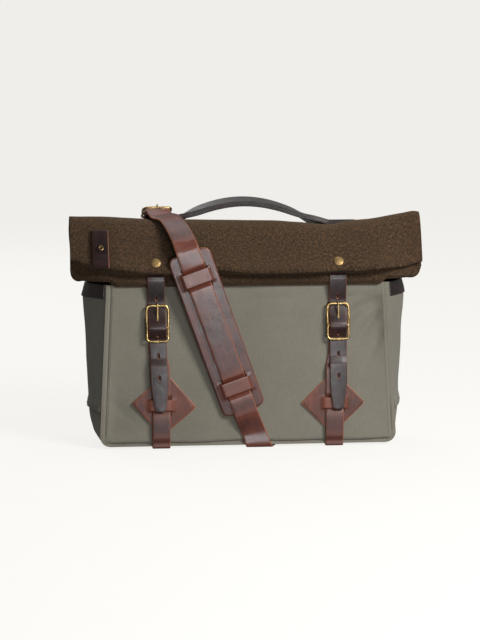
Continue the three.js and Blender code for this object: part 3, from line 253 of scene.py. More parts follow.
def band(name, centre, across, out, width, thickness, crown=0.0, columns=11, holes=(), **kwargs):
    """Strap with a rounded section, swept along its centre points. A section point is the centre, plus
    its share of the width across, plus its share of the thickness out; crown lifts the middle. A hole
    is an oval dip through most of the thickness: its place is the distance along, its half sizes are
    those across and along. Round a hole the rim mark gives a raw ring, and in its middle the mark
    passes 1.3, where the material paints shade near black."""
    turn = np.linspace(0, np.pi, 7)
    flat = np.linspace(-1, 1, columns + 2)[1:-1]
    round_off = thickness * 0.45
    bulge, level = np.sin(turn) * round_off, np.cos(turn)
    half = np.broadcast_to(width, len(centre))[:, None] / 2
    flat_half = half - round_off
    a = np.concatenate([flat_half * flat, flat_half + bulge,
                        flat_half * flat[::-1], -flat_half - bulge[::-1]], 1)
    h = np.concatenate([np.ones(columns), level, -np.ones(columns), level[::-1]]) * thickness / 2
    share = a / half
    upper = (np.arange(a.shape[1]) < columns)[None]
    distance = lengths(centre[:, None], 0)
    h = h[None] + crown * (1 - share ** 2)
    h = h + np.where(upper, 0.09 * noise(distance / 14, a / 9, 17, 2) - 0.08 * share ** 4, 0)
    raw_ring_and_hole_shade = np.zeros_like(h)
    for at, half_across, half_along in holes:
        oval = np.sqrt((a / half_across) ** 2 + ((distance - at) / half_along) ** 2)
        dip = thickness * 0.8 * smooth((1.25 - oval) / 0.4) - 0.1 * np.exp(-((oval - 1.5) / 0.35) ** 2)
        h = h - np.where(upper, dip, 0)
        # Painted shade: the rim mark rises past 1.3 in a hole's middle, which the material paints near black;
        # the lighter ring round it is the raw cut edge.
        raw_ring_and_hole_shade = np.maximum(raw_ring_and_hole_shade, np.where(upper, smooth((1.75 - oval) / 0.5) + smooth((1.1 - oval) / 0.35), 0))
    points = centre[:, None] + a[..., None] * across[:, None] + h[..., None] * out[:, None]
    ends = []
    for end, inner in ((0, 1), (-1, -2)):
        middle = points[end].mean(0)
        ring = middle + (points[end] - middle) * 0.985 + unit(centre[end] - centre[inner]) * round_off * 0.35
        ring -= out[end] * ((points[end] - middle) @ out[end])[:, None] * 0.22
        ends.append(ring[None])
    points = np.concatenate([ends[0], points, ends[1]])
    points[..., 2] = np.maximum(points[..., 2], FLOOR_GAP)
    along = np.concatenate([distance[:1] - 0.5, distance, distance[-1:] + 0.5])
    uv = np.stack(np.broadcast_arrays(with_ends(a), along), -1).reshape(-1, 2)
    rim = np.zeros(points.shape[:2])
    rim[:, columns + 1:columns + 6] = rim[:, -6:-1] = 1
    rim[0] = rim[-1] = 1
    rim = np.maximum(rim, with_ends(raw_ring_and_hole_shade))
    step = np.gradient(centre, axis=0)
    curl = np.linalg.norm(np.gradient(step, axis=0), axis=1)
    curl = np.convolve(curl / np.maximum(np.linalg.norm(step, axis=1), 1e-6) ** 2, np.ones(5) / 5, "same")
    bend = np.clip(with_ends(curl)[:, None] * 7 + 0 * rim, 0, 1)
    marks = {"rim": np.append(rim.ravel(), [1, 1]), "bend": np.append(bend.ravel(), [0, 0])}
    return make(name, tipped(points), closed_ends(*points.shape[:2]),
                np.concatenate([uv, [[0, along[0, 0]], [0, along[-1, 0]]]]), marks=marks, **kwargs)


def round_line(line, step=1.5):
    """Curve through a list of points, sampled every step: between two points it is a cubic whose end
    slopes point along the mean of the legs that meet there, and are as long as the shorter leg."""
    line = np.asarray(line, float)
    leg = np.diff(line, axis=0)
    size = np.linalg.norm(leg, axis=1, keepdims=True)
    before, after = meeting(leg / size)
    slope = (before + after) / 2 * np.minimum(*meeting(size))
    points = []
    for i in range(len(leg)):
        t = np.linspace(0, 1, max(2, int(np.ceil(size[i, 0] / step))), endpoint=False)[:, None]
        points.append(cubic(t, line[i], line[i + 1], slope[i], slope[i + 1]))
    return np.concatenate(points + [line[-1:]])


# The canvas body's outline, all in functions of the height z and the place x across

GUSSET_ROWS = [
    [0, 0], [0.08, 0.24], [0.16, 0.42], [0.25, 0.5], [0.43, 0.63], [0.56, 0.73], [0.74, 0.85], [0.9, 1],
    [1, 0.86],
]
# Columns: share of the seam's half width, share of the canvas height, depth as a share of the canvas
# thickness, radius as a share of the half width
DENTS = [
    [0.93, 0.78, 1.6, 0.1], [0.86, 0.62, 1.1, 0.12], [-0.9, 0.2, 1.5, 0.12], [-0.05, 0.86, 0.9, 0.16],
]


def height_share(z):
    return clamp01((z - BASE) / (CANVAS_TOP - BASE))


def corner_inset(z):
    """How far the body draws in towards its foot, on a quarter circle."""
    below = np.maximum(0, CORNER - (z - BASE))
    return CORNER - np.sqrt(np.maximum(0, CORNER ** 2 - below ** 2))


def seam_half(z):
    return mix(SEAM_BOTTOM, SEAM_TOP, height_share(z)) / 2


def seam_depth(z):
    return mix(BODY_DEPTH, TOP_DEPTH, height_share(z) ** 1.2) / 2


def crease_out(z):
    """How far the middle of a side stands out at a height."""
    return 25 * read(GUSSET_ROWS, height_share(z))


def front_depth(x, z):
    """Depth of the front from the seams' middle plane."""
    across = clamp01(1 - (x / seam_half(z)) ** 2)
    return seam_depth(z) + 3 * across * np.sin(np.pi * mix(0.06, 0.94, height_share(z)))


BACK_HEIGHTS = mix(BASE, CANVAS_TOP, np.array([0, 0.006, 0.02, 0.045, 0.07, 0.2, 0.4, 0.6, 0.8, 1]))
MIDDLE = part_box("back_panel")[1][1] * 1000 - float(front_depth(0, BACK_HEIGHTS).max())


def dent_depth(x, z):
    """Sum of bell-shaped dents, faded out at the seams and the foot."""
    from_seam = clamp01((seam_half(z) - abs(x) - CANVAS * 2) / CORNER)
    from_base = clamp01((z - BASE - CANVAS * 2) / CORNER)
    depth = 0
    for x_share, z_share, deep, radius in DENTS:
        dx = (x / seam_half(z) - x_share) / radius
        dz = (height_share(z) - z_share) / (radius * 1.6)
        depth = depth + deep * CANVAS * np.exp(-dx * dx - dz * dz)
    return depth * smooth(from_seam) * smooth(from_base)


def side_point(v, z, out):
    """Point of the side's fold at a share of the depth and a height, moved out."""
    fold = 1 - abs(v) ** 1.35
    x = seam_half(z) - corner_inset(z) + crease_out(z) * fold + out
    return as_grid(x, v * (seam_depth(z) - CANVAS - FIT), z)


def spread(rows, count):
    """Even steps, plus the listed shares, in order."""
    return np.unique(np.round(np.concatenate([np.linspace(0, 1, count), rows]), 5))


def canvas_ripple(x, z, seed):
    """Slack of the cloth: broad noise, and finer noise stretched along the height, both under a
    millimetre."""
    return 0.9 * noise(x / 95, z / 120, seed, 2) + 0.28 * noise(x / 26, z / 44, seed + 1, 2)


def seam_height(x):
    """The seam above the floor: a wavy line a few millimetres up, from noise along the width."""
    return 6.2 + 1.7 * noise(x / 60, 0 * x, 31, 2)


# Columns: x, z, slope, half width, depth and half length of each pull in the cloth
PULLS = [
    [126, 158, 1.0, 6, 4.2, 32], [143, 142, 1.4, 5, 3.6, 27], [150, 170, 0.6, 4.5, 2.8, 18],
    [153, 122, 2.0, 5, 2.0, 28], [116, 176, 0.35, 4, 1.6, 24],
    [-150, 44, -0.8, 6, 0.9, 30], [-128, 92, 0.35, 9, 0.6, 40], [30, 176, 0.12, 5, 0.5, 60],
]


def across_panel(z, steps):
    """Places across a panel at each height, from seam to seam, from the steps of one half."""
    return np.concatenate([-steps[:0:-1], steps])[None] * (seam_half(z) - corner_inset(z))


def inside_seams(x, z):
    """1 within a panel, falling smoothly to 0 at the side seams and the foot."""
    return smooth((seam_half(z) - abs(x) - 1) / 16) * smooth((z - BASE - 3) / 18)


def front_face():
    """Front panel. Depth is the seam depth plus a crown of a squared share across and a half sine up
    the height, less four bell-shaped dents, the slack noise, a groove along the foot seam, and the
    diagonal pulls below the right corner, each a narrow bell across a sloped line."""
    z = mix(BASE, CANVAS_TOP, spread([0.004, 0.008, 0.014, *np.arange(0.018, 0.066, 0.004)], 110))[:, None]
    x = across_panel(z, spread([*np.arange(0.952, 0.998, 0.005)], 60))
    fade = inside_seams(x, z) * mix(1, 0.3, smooth((z - 176) / 10))
    set_back = dent_depth(x, z) + canvas_ripple(x, z, 5) * fade * 0.8 + 0.2 * fade
    for x_at, z_at, slope, width, deep, reach in PULLS:
        along = ((x - x_at) + (z - z_at) * slope) / math.hypot(1, slope)
        off = ((z - z_at) - (x - x_at) * slope) / math.hypot(1, slope)
        set_back = set_back + deep * np.exp(-(off / width) ** 2 - (along / reach) ** 2) * fade
    seam = np.exp(-((z - seam_height(x)) / 1.35) ** 2) * smooth((172 - abs(x)) / 10)
    side_seam = np.exp(-((abs(x) - seam_half(z) + 5.5) / 1.1) ** 2) * smooth((z - 8) / 12)
    side_seam = side_seam * np.where(x > 0, 0.25 + 0.75 * smooth((60 - z) / 16), 1)
    plain = set_back - front_depth(x, z)
    y = plain + 2.6 * seam + 1.5 * side_seam
    return as_grid(x, y, z), as_grid(x, np.maximum(y + 1.2, plain + CANVAS), z)


def back_face():
    """Back panel: the front's crown mirrored, less the same kind of slack noise and a groove along its
    foot seam."""
    z = mix(BASE, CANVAS_TOP, spread([0.006, 0.014, 0.025, 0.04], 70))[:, None]
    x = across_panel(z, spread([0.98], 44))
    fade = inside_seams(x, z) * mix(1, 0.25, smooth((z - 178) / 8))
    seam = np.exp(-((z - seam_height(x + 300)) / 1.1) ** 2)
    y = front_depth(x, z) - (canvas_ripple(x, z, 15) * 0.75 + 0.6) * fade - 0.8 * seam
    return as_grid(x, y, z), as_grid(x, y - 1.4, z)


def gusset_grid(side, seed):
    """Side of the bag: a fold that stands out at the middle of the depth by one less the share of the
    depth to the power 1.35, its size read from a table up the height, lapped outside the base's
    turn-up, with slack noise that dies out at both seams."""
    z = mix(WRAP_HEIGHT, CANVAS_TOP, spread([0.01, 0.03, 0.05, 0.07, 0.09], 70))[:, None]
    v = np.linspace(-1, 1, 49)[None]
    lap = mix(CANVAS + FIT, 0, smooth((z - WRAP_HEIGHT - WRAP_LAP) / (WRAP_LAP * 2)))
    inner = side_point(v, z, lap - CANVAS)
    outer = side_point(v, z, lap)
    slack = smooth((1 - abs(v)) / 0.35) * smooth((z - WRAP_HEIGHT - 12) / 20) * smooth((176 - z) / 8)
    move = (noise(v * 1.6 + 5, z / 34, seed, 3) * 0.9 - 0.35) * slack
    hem = 0.35 * np.exp(-((z - WRAP_HEIGHT - 7) / 1.0) ** 2)
    outer[..., 0] += move - hem
    inner[..., 0] += move
    return outer * (side, 1, 1), inner * (side, 1, 1)


def base_grid():
    """Base: up the left side, round both bottom corners on a quarter circle, along the underside and
    up the right side; across it follows the sides' fold."""
    top = WRAP_HEIGHT + WRAP_LAP
    turn = mix(BASE, top, spread([0.012, 0.03, 0.06], 26) ** 1.5)[1:]
    v = np.linspace(-1, 1, 33)
    across = np.linspace(-1, 1, 61)
    outer, inner = [], []
    for z in turn[::-1]:
        corner = clamp01((z - BASE) / CORNER)
        thick = CANVAS * math.sqrt(corner * (2 - corner))
        sag = 0.5 * noise(v * 1.5, z / 20 + 0 * v, 44, 2) * smooth((1 - abs(v)) / 0.3) * smooth((z - 14) / 10)
        # A column close to the middle, where the back hem's row is found
        here = side_point(v, z, 0) + as_grid(sag * (z <= 36), 0, 0)
        outer.append(here)
        inner.append(here + (-thick, 0, CANVAS * (1 - corner)))
    outer, inner = np.array(outer), np.array(inner)
    flat = side_point(v, BASE, 0)[None] * as_grid(across, 1, 1)[:, None]
    flat_in = flat + as_grid(-0.8 * across * abs(across), 0, CANVAS)[:, None]
    mirror = np.array([-1, 1, 1])
    return (np.concatenate([outer * mirror, flat, outer[::-1]]),
            np.concatenate([inner * mirror, flat_in, inner[::-1]]))


def patch_grid(side):
    """Leather patch at the top of a side: the side's own fold, moved out, with creases across it that
    are noise stretched along the depth."""
    z = mix(CANVAS_TOP - 17, CANVAS_TOP, np.linspace(0, 1, 22))[:, None]
    v = 0.96 * np.linspace(-1, 1, 49)[None]
    wrinkle = 0.28 * noise(v * 2 + 9, z / 4.5, 60 + side, 3) * smooth((0.95 - abs(v)) / 0.2)
    outer = side_point(v, z, FIT + STRAP * 0.8 + wrinkle - 0.25)
    inner = side_point(v, z, FIT + 0 * wrinkle)
    return outer * (side, 1, 1), inner * (side, 1, 1)


# Lines in the side view are lists of [y, z] points

def offset_line(line, distance):
    """Moves each point of a line to the right of its direction, with mitred corners."""
    line = np.asarray(line, float)
    first, second = meeting(unit(np.diff(line, axis=0)))
    normal = unit((first + second)[:, ::-1] * (1, -1))
    bend = np.maximum(0.62, normal[:, 0] * first[:, 1] - normal[:, 1] * first[:, 0])
    return line + normal * (np.broadcast_to(distance, len(line)) / bend)[:, None]


def depth_at(line, z):
    """Depth of a side-view line at a height."""
    line = np.asarray(line, float)
    order = np.argsort(line[:, 1])
    return np.interp(z, line[order, 1], line[order, 0])


# The wool top's section: y as a share of the reach from the ridge, z as a share of the roll's height
FLAP_ROWS = [
    [0, 1], [0.167, 0.99], [0.352, 0.905], [0.537, 0.724], [0.7, 0.5], [0.85, 0.26], [0.965, 0.065],
]
BACK_ROWS = [
    [1, 0], [1, 0.1], [1, 0.325], [0.945, 0.545], [0.83, 0.71], [0.553, 0.8], [0.24, 0.877], [0.13, 0.954],
]
ROLL_ROWS = [[1.3, 0.8], [2.3, 0.48], [2.8, 0.26], [1.25, 0.06], [0.5, -0.12]]
# Columns: share of the half width, then as shares of the flap's height the rise of the ridge and of the
# flap's edge
LIFT_ROWS = [
    [-1, 0.075, 0.24], [-0.95, 0.074, 0.2], [-0.9, 0.072, 0.12], [-0.78, 0.06, 0.1], [-0.63, 0.03, 0.03],
    [-0.52, 0.003, -0.015], [-0.3, -0.005, 0.01], [-0.15, -0.015, 0.045], [0, -0.03, 0],
    [0.15, -0.034, -0.02], [0.3, -0.07, 0], [0.48, -0.125, 0.004], [0.6, -0.05, 0.017],
    [0.75, -0.005, 0.057], [0.9, 0.083, 0.073], [0.97, 0.125, 0.11], [1, 0.11, 0.13],
]
RIDGE_Y, HEM_FLARE = -8, 5


def front_reach(x):
    """How far forward the flap hangs: less towards its ends."""
    share = clamp01((abs(x) / (TWEED_WIDTH / 2) - 0.71) / 0.29)
    return FLAP_REACH * mix(1, 0.6, smooth(share))


# Columns: place across, half width and share of the flare that is held down by a rivet or a strap
HELD = [[-110, 15, 0.85], [106, 15, 0.85], [-64, 34, 1]]


def hem_flare(x):
    """How far the flap's free edge stands off: less under each rivet and strap, a bell across."""
    held = 1
    for middle, half, share in HELD:
        held = held * (1 - share * math.exp(-((x - middle) / half) ** 4))
    return HEM_FLARE * held * smooth((TWEED_WIDTH / 2 - abs(x)) / 24)


def flap_line(x, flared=True):
    """Middle line of the flap from the ridge to its free edge."""
    share = 2 * x / TWEED_WIDTH
    flare = hem_flare(x) if flared else 0
    ridge = RIDGE - WOOL / 2 + float(read(LIFT_ROWS, share, 1)) * FLAP_HEIGHT
    edge = FLAP_EDGE + float(read(LIFT_ROWS, share, 2)) * FLAP_HEIGHT
    reach, height = np.array(FLAP_ROWS).T
    stand_off = flare * (1 - clamp01((height - 0.065) / 0.32)) ** 1.5
    return np.column_stack([RIDGE_Y - reach * front_reach(x) - stand_off, mix(edge, ridge, height)])


def past_canvas(x):
    """0 over the canvas body, rising smoothly to 1 at the wool's own edges."""
    return smooth((abs(x) - SEAM_TOP / 2) / (TWEED_WIDTH / 2 - SEAM_TOP / 2))


def hem_rise(x):
    """How far the roll's foot rises towards its ends: a quarter circle, and a smooth step past the
    canvas."""
    past = max(0, abs(x) - (TWEED_WIDTH / 2 - ROLL_CORNER))
    corner = ROLL_CORNER - math.sqrt(max(0, ROLL_CORNER ** 2 - past ** 2))
    return corner + 6 * smooth((abs(x) - SEAM_TOP / 2 + 12) / 10)


def wall_line(x):
    """Inner layer: down behind the flap, then round the roll."""
    flap = flap_line(x, False)
    top, foot = PITCH * 2, PITCH + WOOL + STRAP + FIT * 4
    share = clamp01((np.array(FLAP_ROWS)[:, 1] - 0.35) / 0.6)
    wall = offset_line(flap, -mix(foot, top, share))
    canvas_y = -front_depth(x, HEM) * mix(1, 0.6, past_canvas(x))
    rolled = FLAP_EDGE - CANVAS_TOP
    roll = [[canvas_y - FIT - out * WOOL, CANVAS_TOP + up * rolled + hem_rise(x) * (1 - up * 0.9)]
            for out, up in ROLL_ROWS]
    return np.concatenate([wall[2:], roll])


def tweed_line(x):
    """Middle line of the whole wool top, from the hem on the back to the roll's end."""
    flap = flap_line(x)
    inner = offset_line(flap, -PITCH)
    wall = wall_line(x)
    back_y = front_depth(0, HEM) + FIT + WOOL / 2
    closing = past_canvas(x)
    back = []
    for reach, height in BACK_ROWS:
        z = mix(HEM, flap[0, 1], height) + hem_rise(x) * (1 - clamp01(height * 3))
        shut = depth_at(wall, z) + PITCH
        back.append([mix(mix(RIDGE_Y, back_y, reach), shut, closing * clamp01((0.877 - height) / 0.3)), z])
    end, inner_end = flap[-1], inner[-1]
    turn = [[mix(end[0], inner_end[0], 0.04), mix(end[1], inner_end[1], 0.5) - PITCH * 0.45],
            [mix(end[0], inner_end[0], 0.62), mix(end[1], inner_end[1], 0.7) - PITCH * 0.55]]
    return np.concatenate([back, flap, turn, inner[2:][::-1], wall])


def resample(line, count):
    """A number of points at even steps along the curve through a line."""
    fine = round_line(line, 0.7)
    along = distances(fine)
    at = np.linspace(0, along[-1], count)
    return np.stack([np.interp(at, along, fine[:, k]) for k in (0, 1)], -1)


def tweed_grid():
    """Wool top: at each place across, a side-view line goes up the back, over the ridge, down the
    flap, back up inside it and down the front wall to the roll. It is offset by half the wool's
    thickness both ways. The flap carries soft buckles: noise across the width, larger near its edge."""
    columns = np.unique(np.concatenate([np.linspace(-1, 1, 141), [-0.995, -0.985, 0.985, 0.995]]))
    count = 190
    outer, inner = [], []
    for share in columns:
        x = share * TWEED_WIDTH / 2
        line = resample(tweed_line(x), count)
        leg = np.linspace(0, 1, count)
        flap = smooth((leg - 0.24) / 0.1) * smooth((0.5 - leg) / 0.04)
        near_end = smooth((1 - abs(share)) / 0.05)
        buckle = 1.1 * noise(x / 62 + 0 * leg, leg * 9, 71, 3) - 0.5
        back = smooth((0.2 - leg) / 0.05) * smooth((leg - 0.04) / 0.04)
        buckle = buckle * flap * near_end + 0.8 * (noise(x / 55 + 0 * leg, leg * 12, 73, 2) - 0.7) * back
        ridge = 0.45 * noise(x / 16 + 0 * leg, leg * 3, 77, 2) * np.exp(-((leg - 0.262) / 0.03) ** 2)
        line = offset_line(line, buckle * 0.7 + ridge)
        for side, grid in ((-1, outer), (1, inner)):
            face = offset_line(line, side * WOOL / 2)
            grid.append(np.column_stack([np.full(count, x), face]))
    return np.array(outer).transpose(1, 0, 2), np.array(inner).transpose(1, 0, 2)


# Straps

LYING = FIT + STRAP / 2
SECOND = LYING + STRAP + FIT
THIRD = SECOND + STRAP + FIT
# Columns: side, then as shares of the strap spacing the middle of the flap strap at the flap and at its
# tip, of the lower strap and of the diamond, and the turn of the diamond in degrees
FASTENINGS = [[-1, 0.516, 0.493, 0.488, 0.472, 4], [1, 0.498, 0.5, 0.48, 0.471, 0]]


def buckle_levels(thickness):
    lying = FIT + thickness / 2
    wrap = CENTRE_BAR + FIT + thickness / 2
    top_bar = lying + thickness / 2 + FIT + TOP_BAR
    keeper = lying + thickness * 1.5 + FIT * 2 + ROD
    lower = BUCKLE_HEIGHT * 0.36
    upper = BUCKLE_HEIGHT * 0.64 - TOP_BAR - ROD
    centre = mix(keeper, top_bar, lower / (lower + upper))
    return {"lying": lying, "wrap": wrap, "top": top_bar, "keeper": keeper, "lower": lower, "upper": upper,
            "centre": centre, "over": centre + wrap + thickness + FIT, "thickness": thickness}


def through_rows(b):
    """A strap through a buckle: places along it and levels, over the centre bar."""
    stacked = b["lying"] + b["thickness"] + FIT
    return [
        [b["upper"] + b["thickness"] * 1.8, b["lying"]], [b["upper"] - ROD * 2, b["lying"]],
        [b["upper"] * 0.52, mix(b["lying"], b["over"], 0.4)], [b["wrap"], b["over"] - FIT],
        [0, b["over"] + FIT], [-b["wrap"], b["over"] - FIT / 2],
        [-b["lower"] * 0.45, mix(b["over"], stacked, 0.42)], [-b["lower"] + ROD * 2, stacked],
        [-b["lower"] - b["thickness"] * 1.8, stacked],
    ]


def chape_rows(b):
    """A strap's end folded round a buckle's centre bar."""
    turn = np.radians([-90, -60, -25, 10, 45, 80, 110])
    return [
        [-b["lower"] - ROD * 1.4, b["lying"]], [-b["lower"] + ROD * 1.4, b["lying"]],
        [-b["wrap"] * 1.9, mix(b["lying"], b["centre"] - b["wrap"], 0.6)],
        *[[b["wrap"] * math.cos(a), b["centre"] + b["wrap"] * math.sin(a)] for a in turn],
    ]


BUCKLE = buckle_levels(STRAP)
DIAMOND_REACH = DIAMOND / math.sqrt(2)


def strap_middle(row, z):
    share = clamp01((FLAP_EDGE - z) / (FLAP_EDGE - TIP_Z))
    return row[0] * SPACING * mix(row[1], row[2], share)


def front_lean(x, z):
    """Angle of the front at a place, from its slope over 4 mm."""
    return math.atan((front_depth(x, z + 2) - front_depth(x, z - 2)) / 4)


def at_buckle(row, along, level):
    x = strap_middle(row, BUCKLE_Z)
    lean = front_lean(x, BUCKLE_Z)
    return [-front_depth(x, BUCKLE_Z) - level * math.cos(lean) - along * math.sin(lean),
            BUCKLE_Z - level * math.sin(lean) + along * math.cos(lean)]


def strap_band(name, line, middle, width, step=1.2, **kwargs):
    """Strap along a side-view line: its middle, width and the front's curve under it are functions of
    the height; the section is square to the line."""
    fine = round_line(line, step)
    out = unit(offset_line(fine, 1.0) - fine)
    y, z = fine[:, 0], fine[:, 1]
    x = middle(fine)
    half = width(fine) / 2 * np.ones(len(fine))
    on_front = smooth((-y - TOP_DEPTH * 0.35) / CORNER)
    slope = -(front_depth(x + half, z) - front_depth(x - half, z)) / (2 * half) * on_front
    return band(name, as_grid(x, y, z), as_grid(1, slope, 0), as_grid(0, *out.T), 2 * half, STRAP, **kwargs)


def flap_strap_line(row):
    x = strap_middle(row, FLAP_EDGE)
    flap = offset_line(flap_line(x), -(PITCH + WOOL / 2 + FIT + STRAP / 2))
    over_roll = FIT + ROLL_ROWS[1][0] * WOOL + WOOL / 2 + FIT + STRAP / 2
    rolled = FLAP_EDGE - CANVAS_TOP

    def front(z, level):
        return [-front_depth(strap_middle(row, z), z) - level, z]

    top = DIAMOND_Z + DIAMOND_REACH
    above_buckle = BUCKLE_Z + through_rows(BUCKLE)[0][0]
    return [
        [depth_at(flap, HIDDEN_TOP), HIDDEN_TOP], *flap[-2:].tolist(),
        front(CANVAS_TOP + rolled * 0.7, over_roll), front(CANVAS_TOP + rolled * 0.35, over_roll),
        front(mix(CANVAS_TOP + rolled * 0.35, above_buckle, 0.5), over_roll * 0.68),
        *[at_buckle(row, *point) for point in through_rows(BUCKLE)],
        front(top + STRAP * 8, SECOND), front(top + STRAP * 4, THIRD), front(DIAMOND_Z + BRIDGE, THIRD),
        front(TIP_Z + TIP_TAPER, THIRD), front(TIP_Z + TIP_TAPER * 0.5, THIRD),
        front(TIP_Z + TIP_TAPER * 0.15, THIRD), front(TIP_Z, THIRD),
    ]


def lower_strap_line(row):
    x = row[0] * SPACING * row[3]
    window = BRIDGE / 2 + SLOT
    top = DIAMOND_Z + DIAMOND_REACH
    under = STRAP / 2

    def front(z, level):
        return [-front_depth(x, z) - level, z]

    def back(z):
        return [front_depth(x, z) + LYING, z]

    return [
        back(LOWER_END), back(LOWER_END / 2), back(under + STRAP * 0.4),
        [back(0)[0] - STRAP * 0.4, under], [0, under],
        [front(0, LYING)[0] + STRAP * 0.4, under], front(under + STRAP * 0.4, LYING),
        front(DIAMOND_Z - DIAMOND_REACH - STRAP * 3, LYING),
        front(DIAMOND_Z - DIAMOND_REACH - STRAP * 0.5, SECOND),
        front(DIAMOND_Z - window + STRAP * 0.5, SECOND), front(DIAMOND_Z - BRIDGE / 2 - 0.2, LYING),
        front(DIAMOND_Z + BRIDGE / 2 + 0.2, LYING), front(DIAMOND_Z + window - STRAP * 0.5, SECOND),
        front(top + STRAP, SECOND), front(top + STRAP * 4, LYING),
        *[at_buckle(row, *point) for point in chape_rows(BUCKLE)],
    ]


# Plates with woven straps

def outline_distance(polygon, x, z):
    """Distance inside a convex outline, the least over its sides, positive within."""
    leg = unit(np.roll(polygon, -1, axis=0) - polygon)
    return np.min([(z - p[1]) * d[0] - (x - p[0]) * d[1] for p, d in zip(polygon, leg)], axis=0)


def plate(name, outline, thickness, lift, strap_width, strap_thick, bridges, bridge, place, **kwargs):
    """Leather plate on a grid of shares of its outline: across, from the left edge to the right one at
    each height. Under each bridge's strip it lifts over the strap as a smooth step at both sides; the
    windows above and below a bridge are left out of the grid, and their rims are joined."""
    polygon = np.asarray(outline, float)
    low, high = polygon[:, 1].min(), polygon[:, 1].max()
    half = strap_width / 2 + FIT * 3
    foot = half + thickness * 1.4
    inside = FIT * 2 + strap_thick
    stops = [low + 0.01, high - 0.01]
    for middle in bridges:
        stops += [middle - bridge / 2 - SLOT, middle - bridge / 2, middle + bridge / 2,
                  middle + bridge / 2 + SLOT]
    stops = sorted(stops)
    z_rows = np.unique(np.round(np.concatenate(
        [np.linspace(a, b, max(2, int((b - a) / 1.6) + 2)) for a, b in zip(stops, stops[1:])]), 4))
    core = np.linspace(-half, half, 17)
    wing = np.linspace(0, 1, 13)
    rows = []
    for a, b in (cross_outline(polygon, z) for z in z_rows):
        inner_half = min(half, (b - a) * 0.38)
        middle = (a + b) / 2 if (b - a) < 2.6 * half else 0
        core_x = middle + core / half * inner_half
        rows.append(np.concatenate([mix(a, core_x[0], wing[:-1]), core_x, mix(core_x[-1], b, wing[1:])]))
    x = np.array(rows)
    z = np.broadcast_to(z_rows[:, None], x.shape)
    raise_by = np.zeros_like(x)
    for middle in bridges:
        on = (abs(z - middle) <= bridge / 2 + 0.001)
        near = smooth((bridge / 2 + 3.2 - abs(z - middle)) / 3.2)
        step = smooth((foot + 1.2 - abs(x)) / (foot + 0.8 - half))
        raise_by = np.maximum(raise_by, (inside - lift) * step * np.where(on, 1, 0))
        side = smooth((foot + 4 - abs(x)) / 3) * smooth((abs(x) - half + 0.2) / 1.0)
        raise_by = np.maximum(raise_by, 0.45 * side * near)
    edge = outline_distance(polygon, x, z)
    round_off = thickness * 0.28 * (1 - smooth(edge / 0.9))
    dome = 0.2 * noise(x / 17, z / 17, 91, 2) * smooth(edge / 5)
    top = lift + raise_by + thickness + np.where(raise_by > 0.5, 0, dome * 0.6) - round_off
    under = lift + raise_by + 0 * x
    columns, count = x.shape[1], x.size
    quads = lattice(*x.shape)
    centre_z = z.reshape(-1)[quads].mean(1)
    column = np.broadcast_to(np.arange(columns - 1), (x.shape[0] - 1, columns - 1)).reshape(-1)
    in_core = (column >= 12) & (column < columns - 13)
    window = np.zeros(len(quads), bool)
    for middle in bridges:
        gap = abs(centre_z - middle)
        window |= in_core & (gap > bridge / 2) & (gap < bridge / 2 + SLOT)
    kept = quads[~window]
    edges = np.concatenate([kept[:, [k, (k + 1) % 4]] for k in range(4)])
    seen = {tuple(edge) for edge in edges.tolist()}
    rim = np.array([edge for edge in edges.tolist() if (edge[1], edge[0]) not in seen])
    rims = np.stack([rim[:, 1], rim[:, 0], rim[:, 0] + count, rim[:, 1] + count], -1)
    faces = np.concatenate([kept, kept[:, ::-1] + count, rims])
    used = np.unique(faces)
    number = np.full(2 * count, -1)
    number[used] = np.arange(len(used))
    points = np.concatenate([as_grid(x, level, z).reshape(-1, 3) for level in (top, under)])
    flat = np.stack([x, z], -1).reshape(-1, 2)
    rim = smooth((1.1 - edge) / 0.9).ravel()
    bend = clamp01(raise_by / 1.4 * 0.8 + smooth((4 - edge) / 4) * 0.3).ravel()
    marks = {"rim": np.concatenate([rim, np.ones(count)])[used], "bend": np.concatenate([bend, bend])[used]}
    piece = make(name, place(points[used]), [number[faces]], np.concatenate([flat, flat])[used], marks=marks,
                 **kwargs)
    round_rim(piece, 0.3, 55)


def cross_outline(polygon, z):
    """Where a level line crosses a convex outline, left and right."""
    hits = [p[0] + (q[0] - p[0]) * (z - p[1]) / (q[1] - p[1])
            for p, q in zip(polygon, np.roll(polygon, -1, axis=0))
            if (p[1] - z) * (q[1] - z) <= 0 and p[1] != q[1]]
    return min(hits), max(hits)


def circle_point(angle, radius):
    return np.array([math.cos(angle), math.sin(angle)]) * radius


def diamond_outline(row):
    """Square on its point, with small round corners of four points each."""
    middle = np.array([row[0] * SPACING * (row[4] - row[3]), DIAMOND_Z])
    points = []
    for k in range(4):
        angle = k * math.pi / 2 - math.radians(row[5])
        corner = middle + circle_point(angle, DIAMOND_REACH - DIAMOND_CORNER * math.sqrt(2))
        points += [corner + circle_point(angle + bend * math.pi / 2, DIAMOND_CORNER)
                   for bend in (-0.5, -0.17, 0.17, 0.5)]
    return points


def pad_outline():
    """Rectangle with quarter circles at its corners."""
    w, h = PAD_WIDTH / 2 - PAD_CORNER, PAD_LENGTH / 2 - PAD_CORNER
    return [np.array([side * w, end * h]) + circle_point(angle, PAD_CORNER)
            for side, end, start in ((1, -1, -90), (1, 1, 0), (-1, 1, 90), (-1, -1, 180))
            for angle in np.radians(np.linspace(start, start + 90, 7))]


# The handle

def tab_seat(x):
    """Where a handle's tab lies on the wool: its depth, height and tilt."""
    line = tweed_line(x)
    tilt = math.atan2(line[6][1] - line[4][1], line[4][0] - line[6][0])
    lift = WOOL / 2 + FIT + HANDLE_THICK / 2
    return line[5][0], line[5][1] + lift / math.cos(tilt), tilt


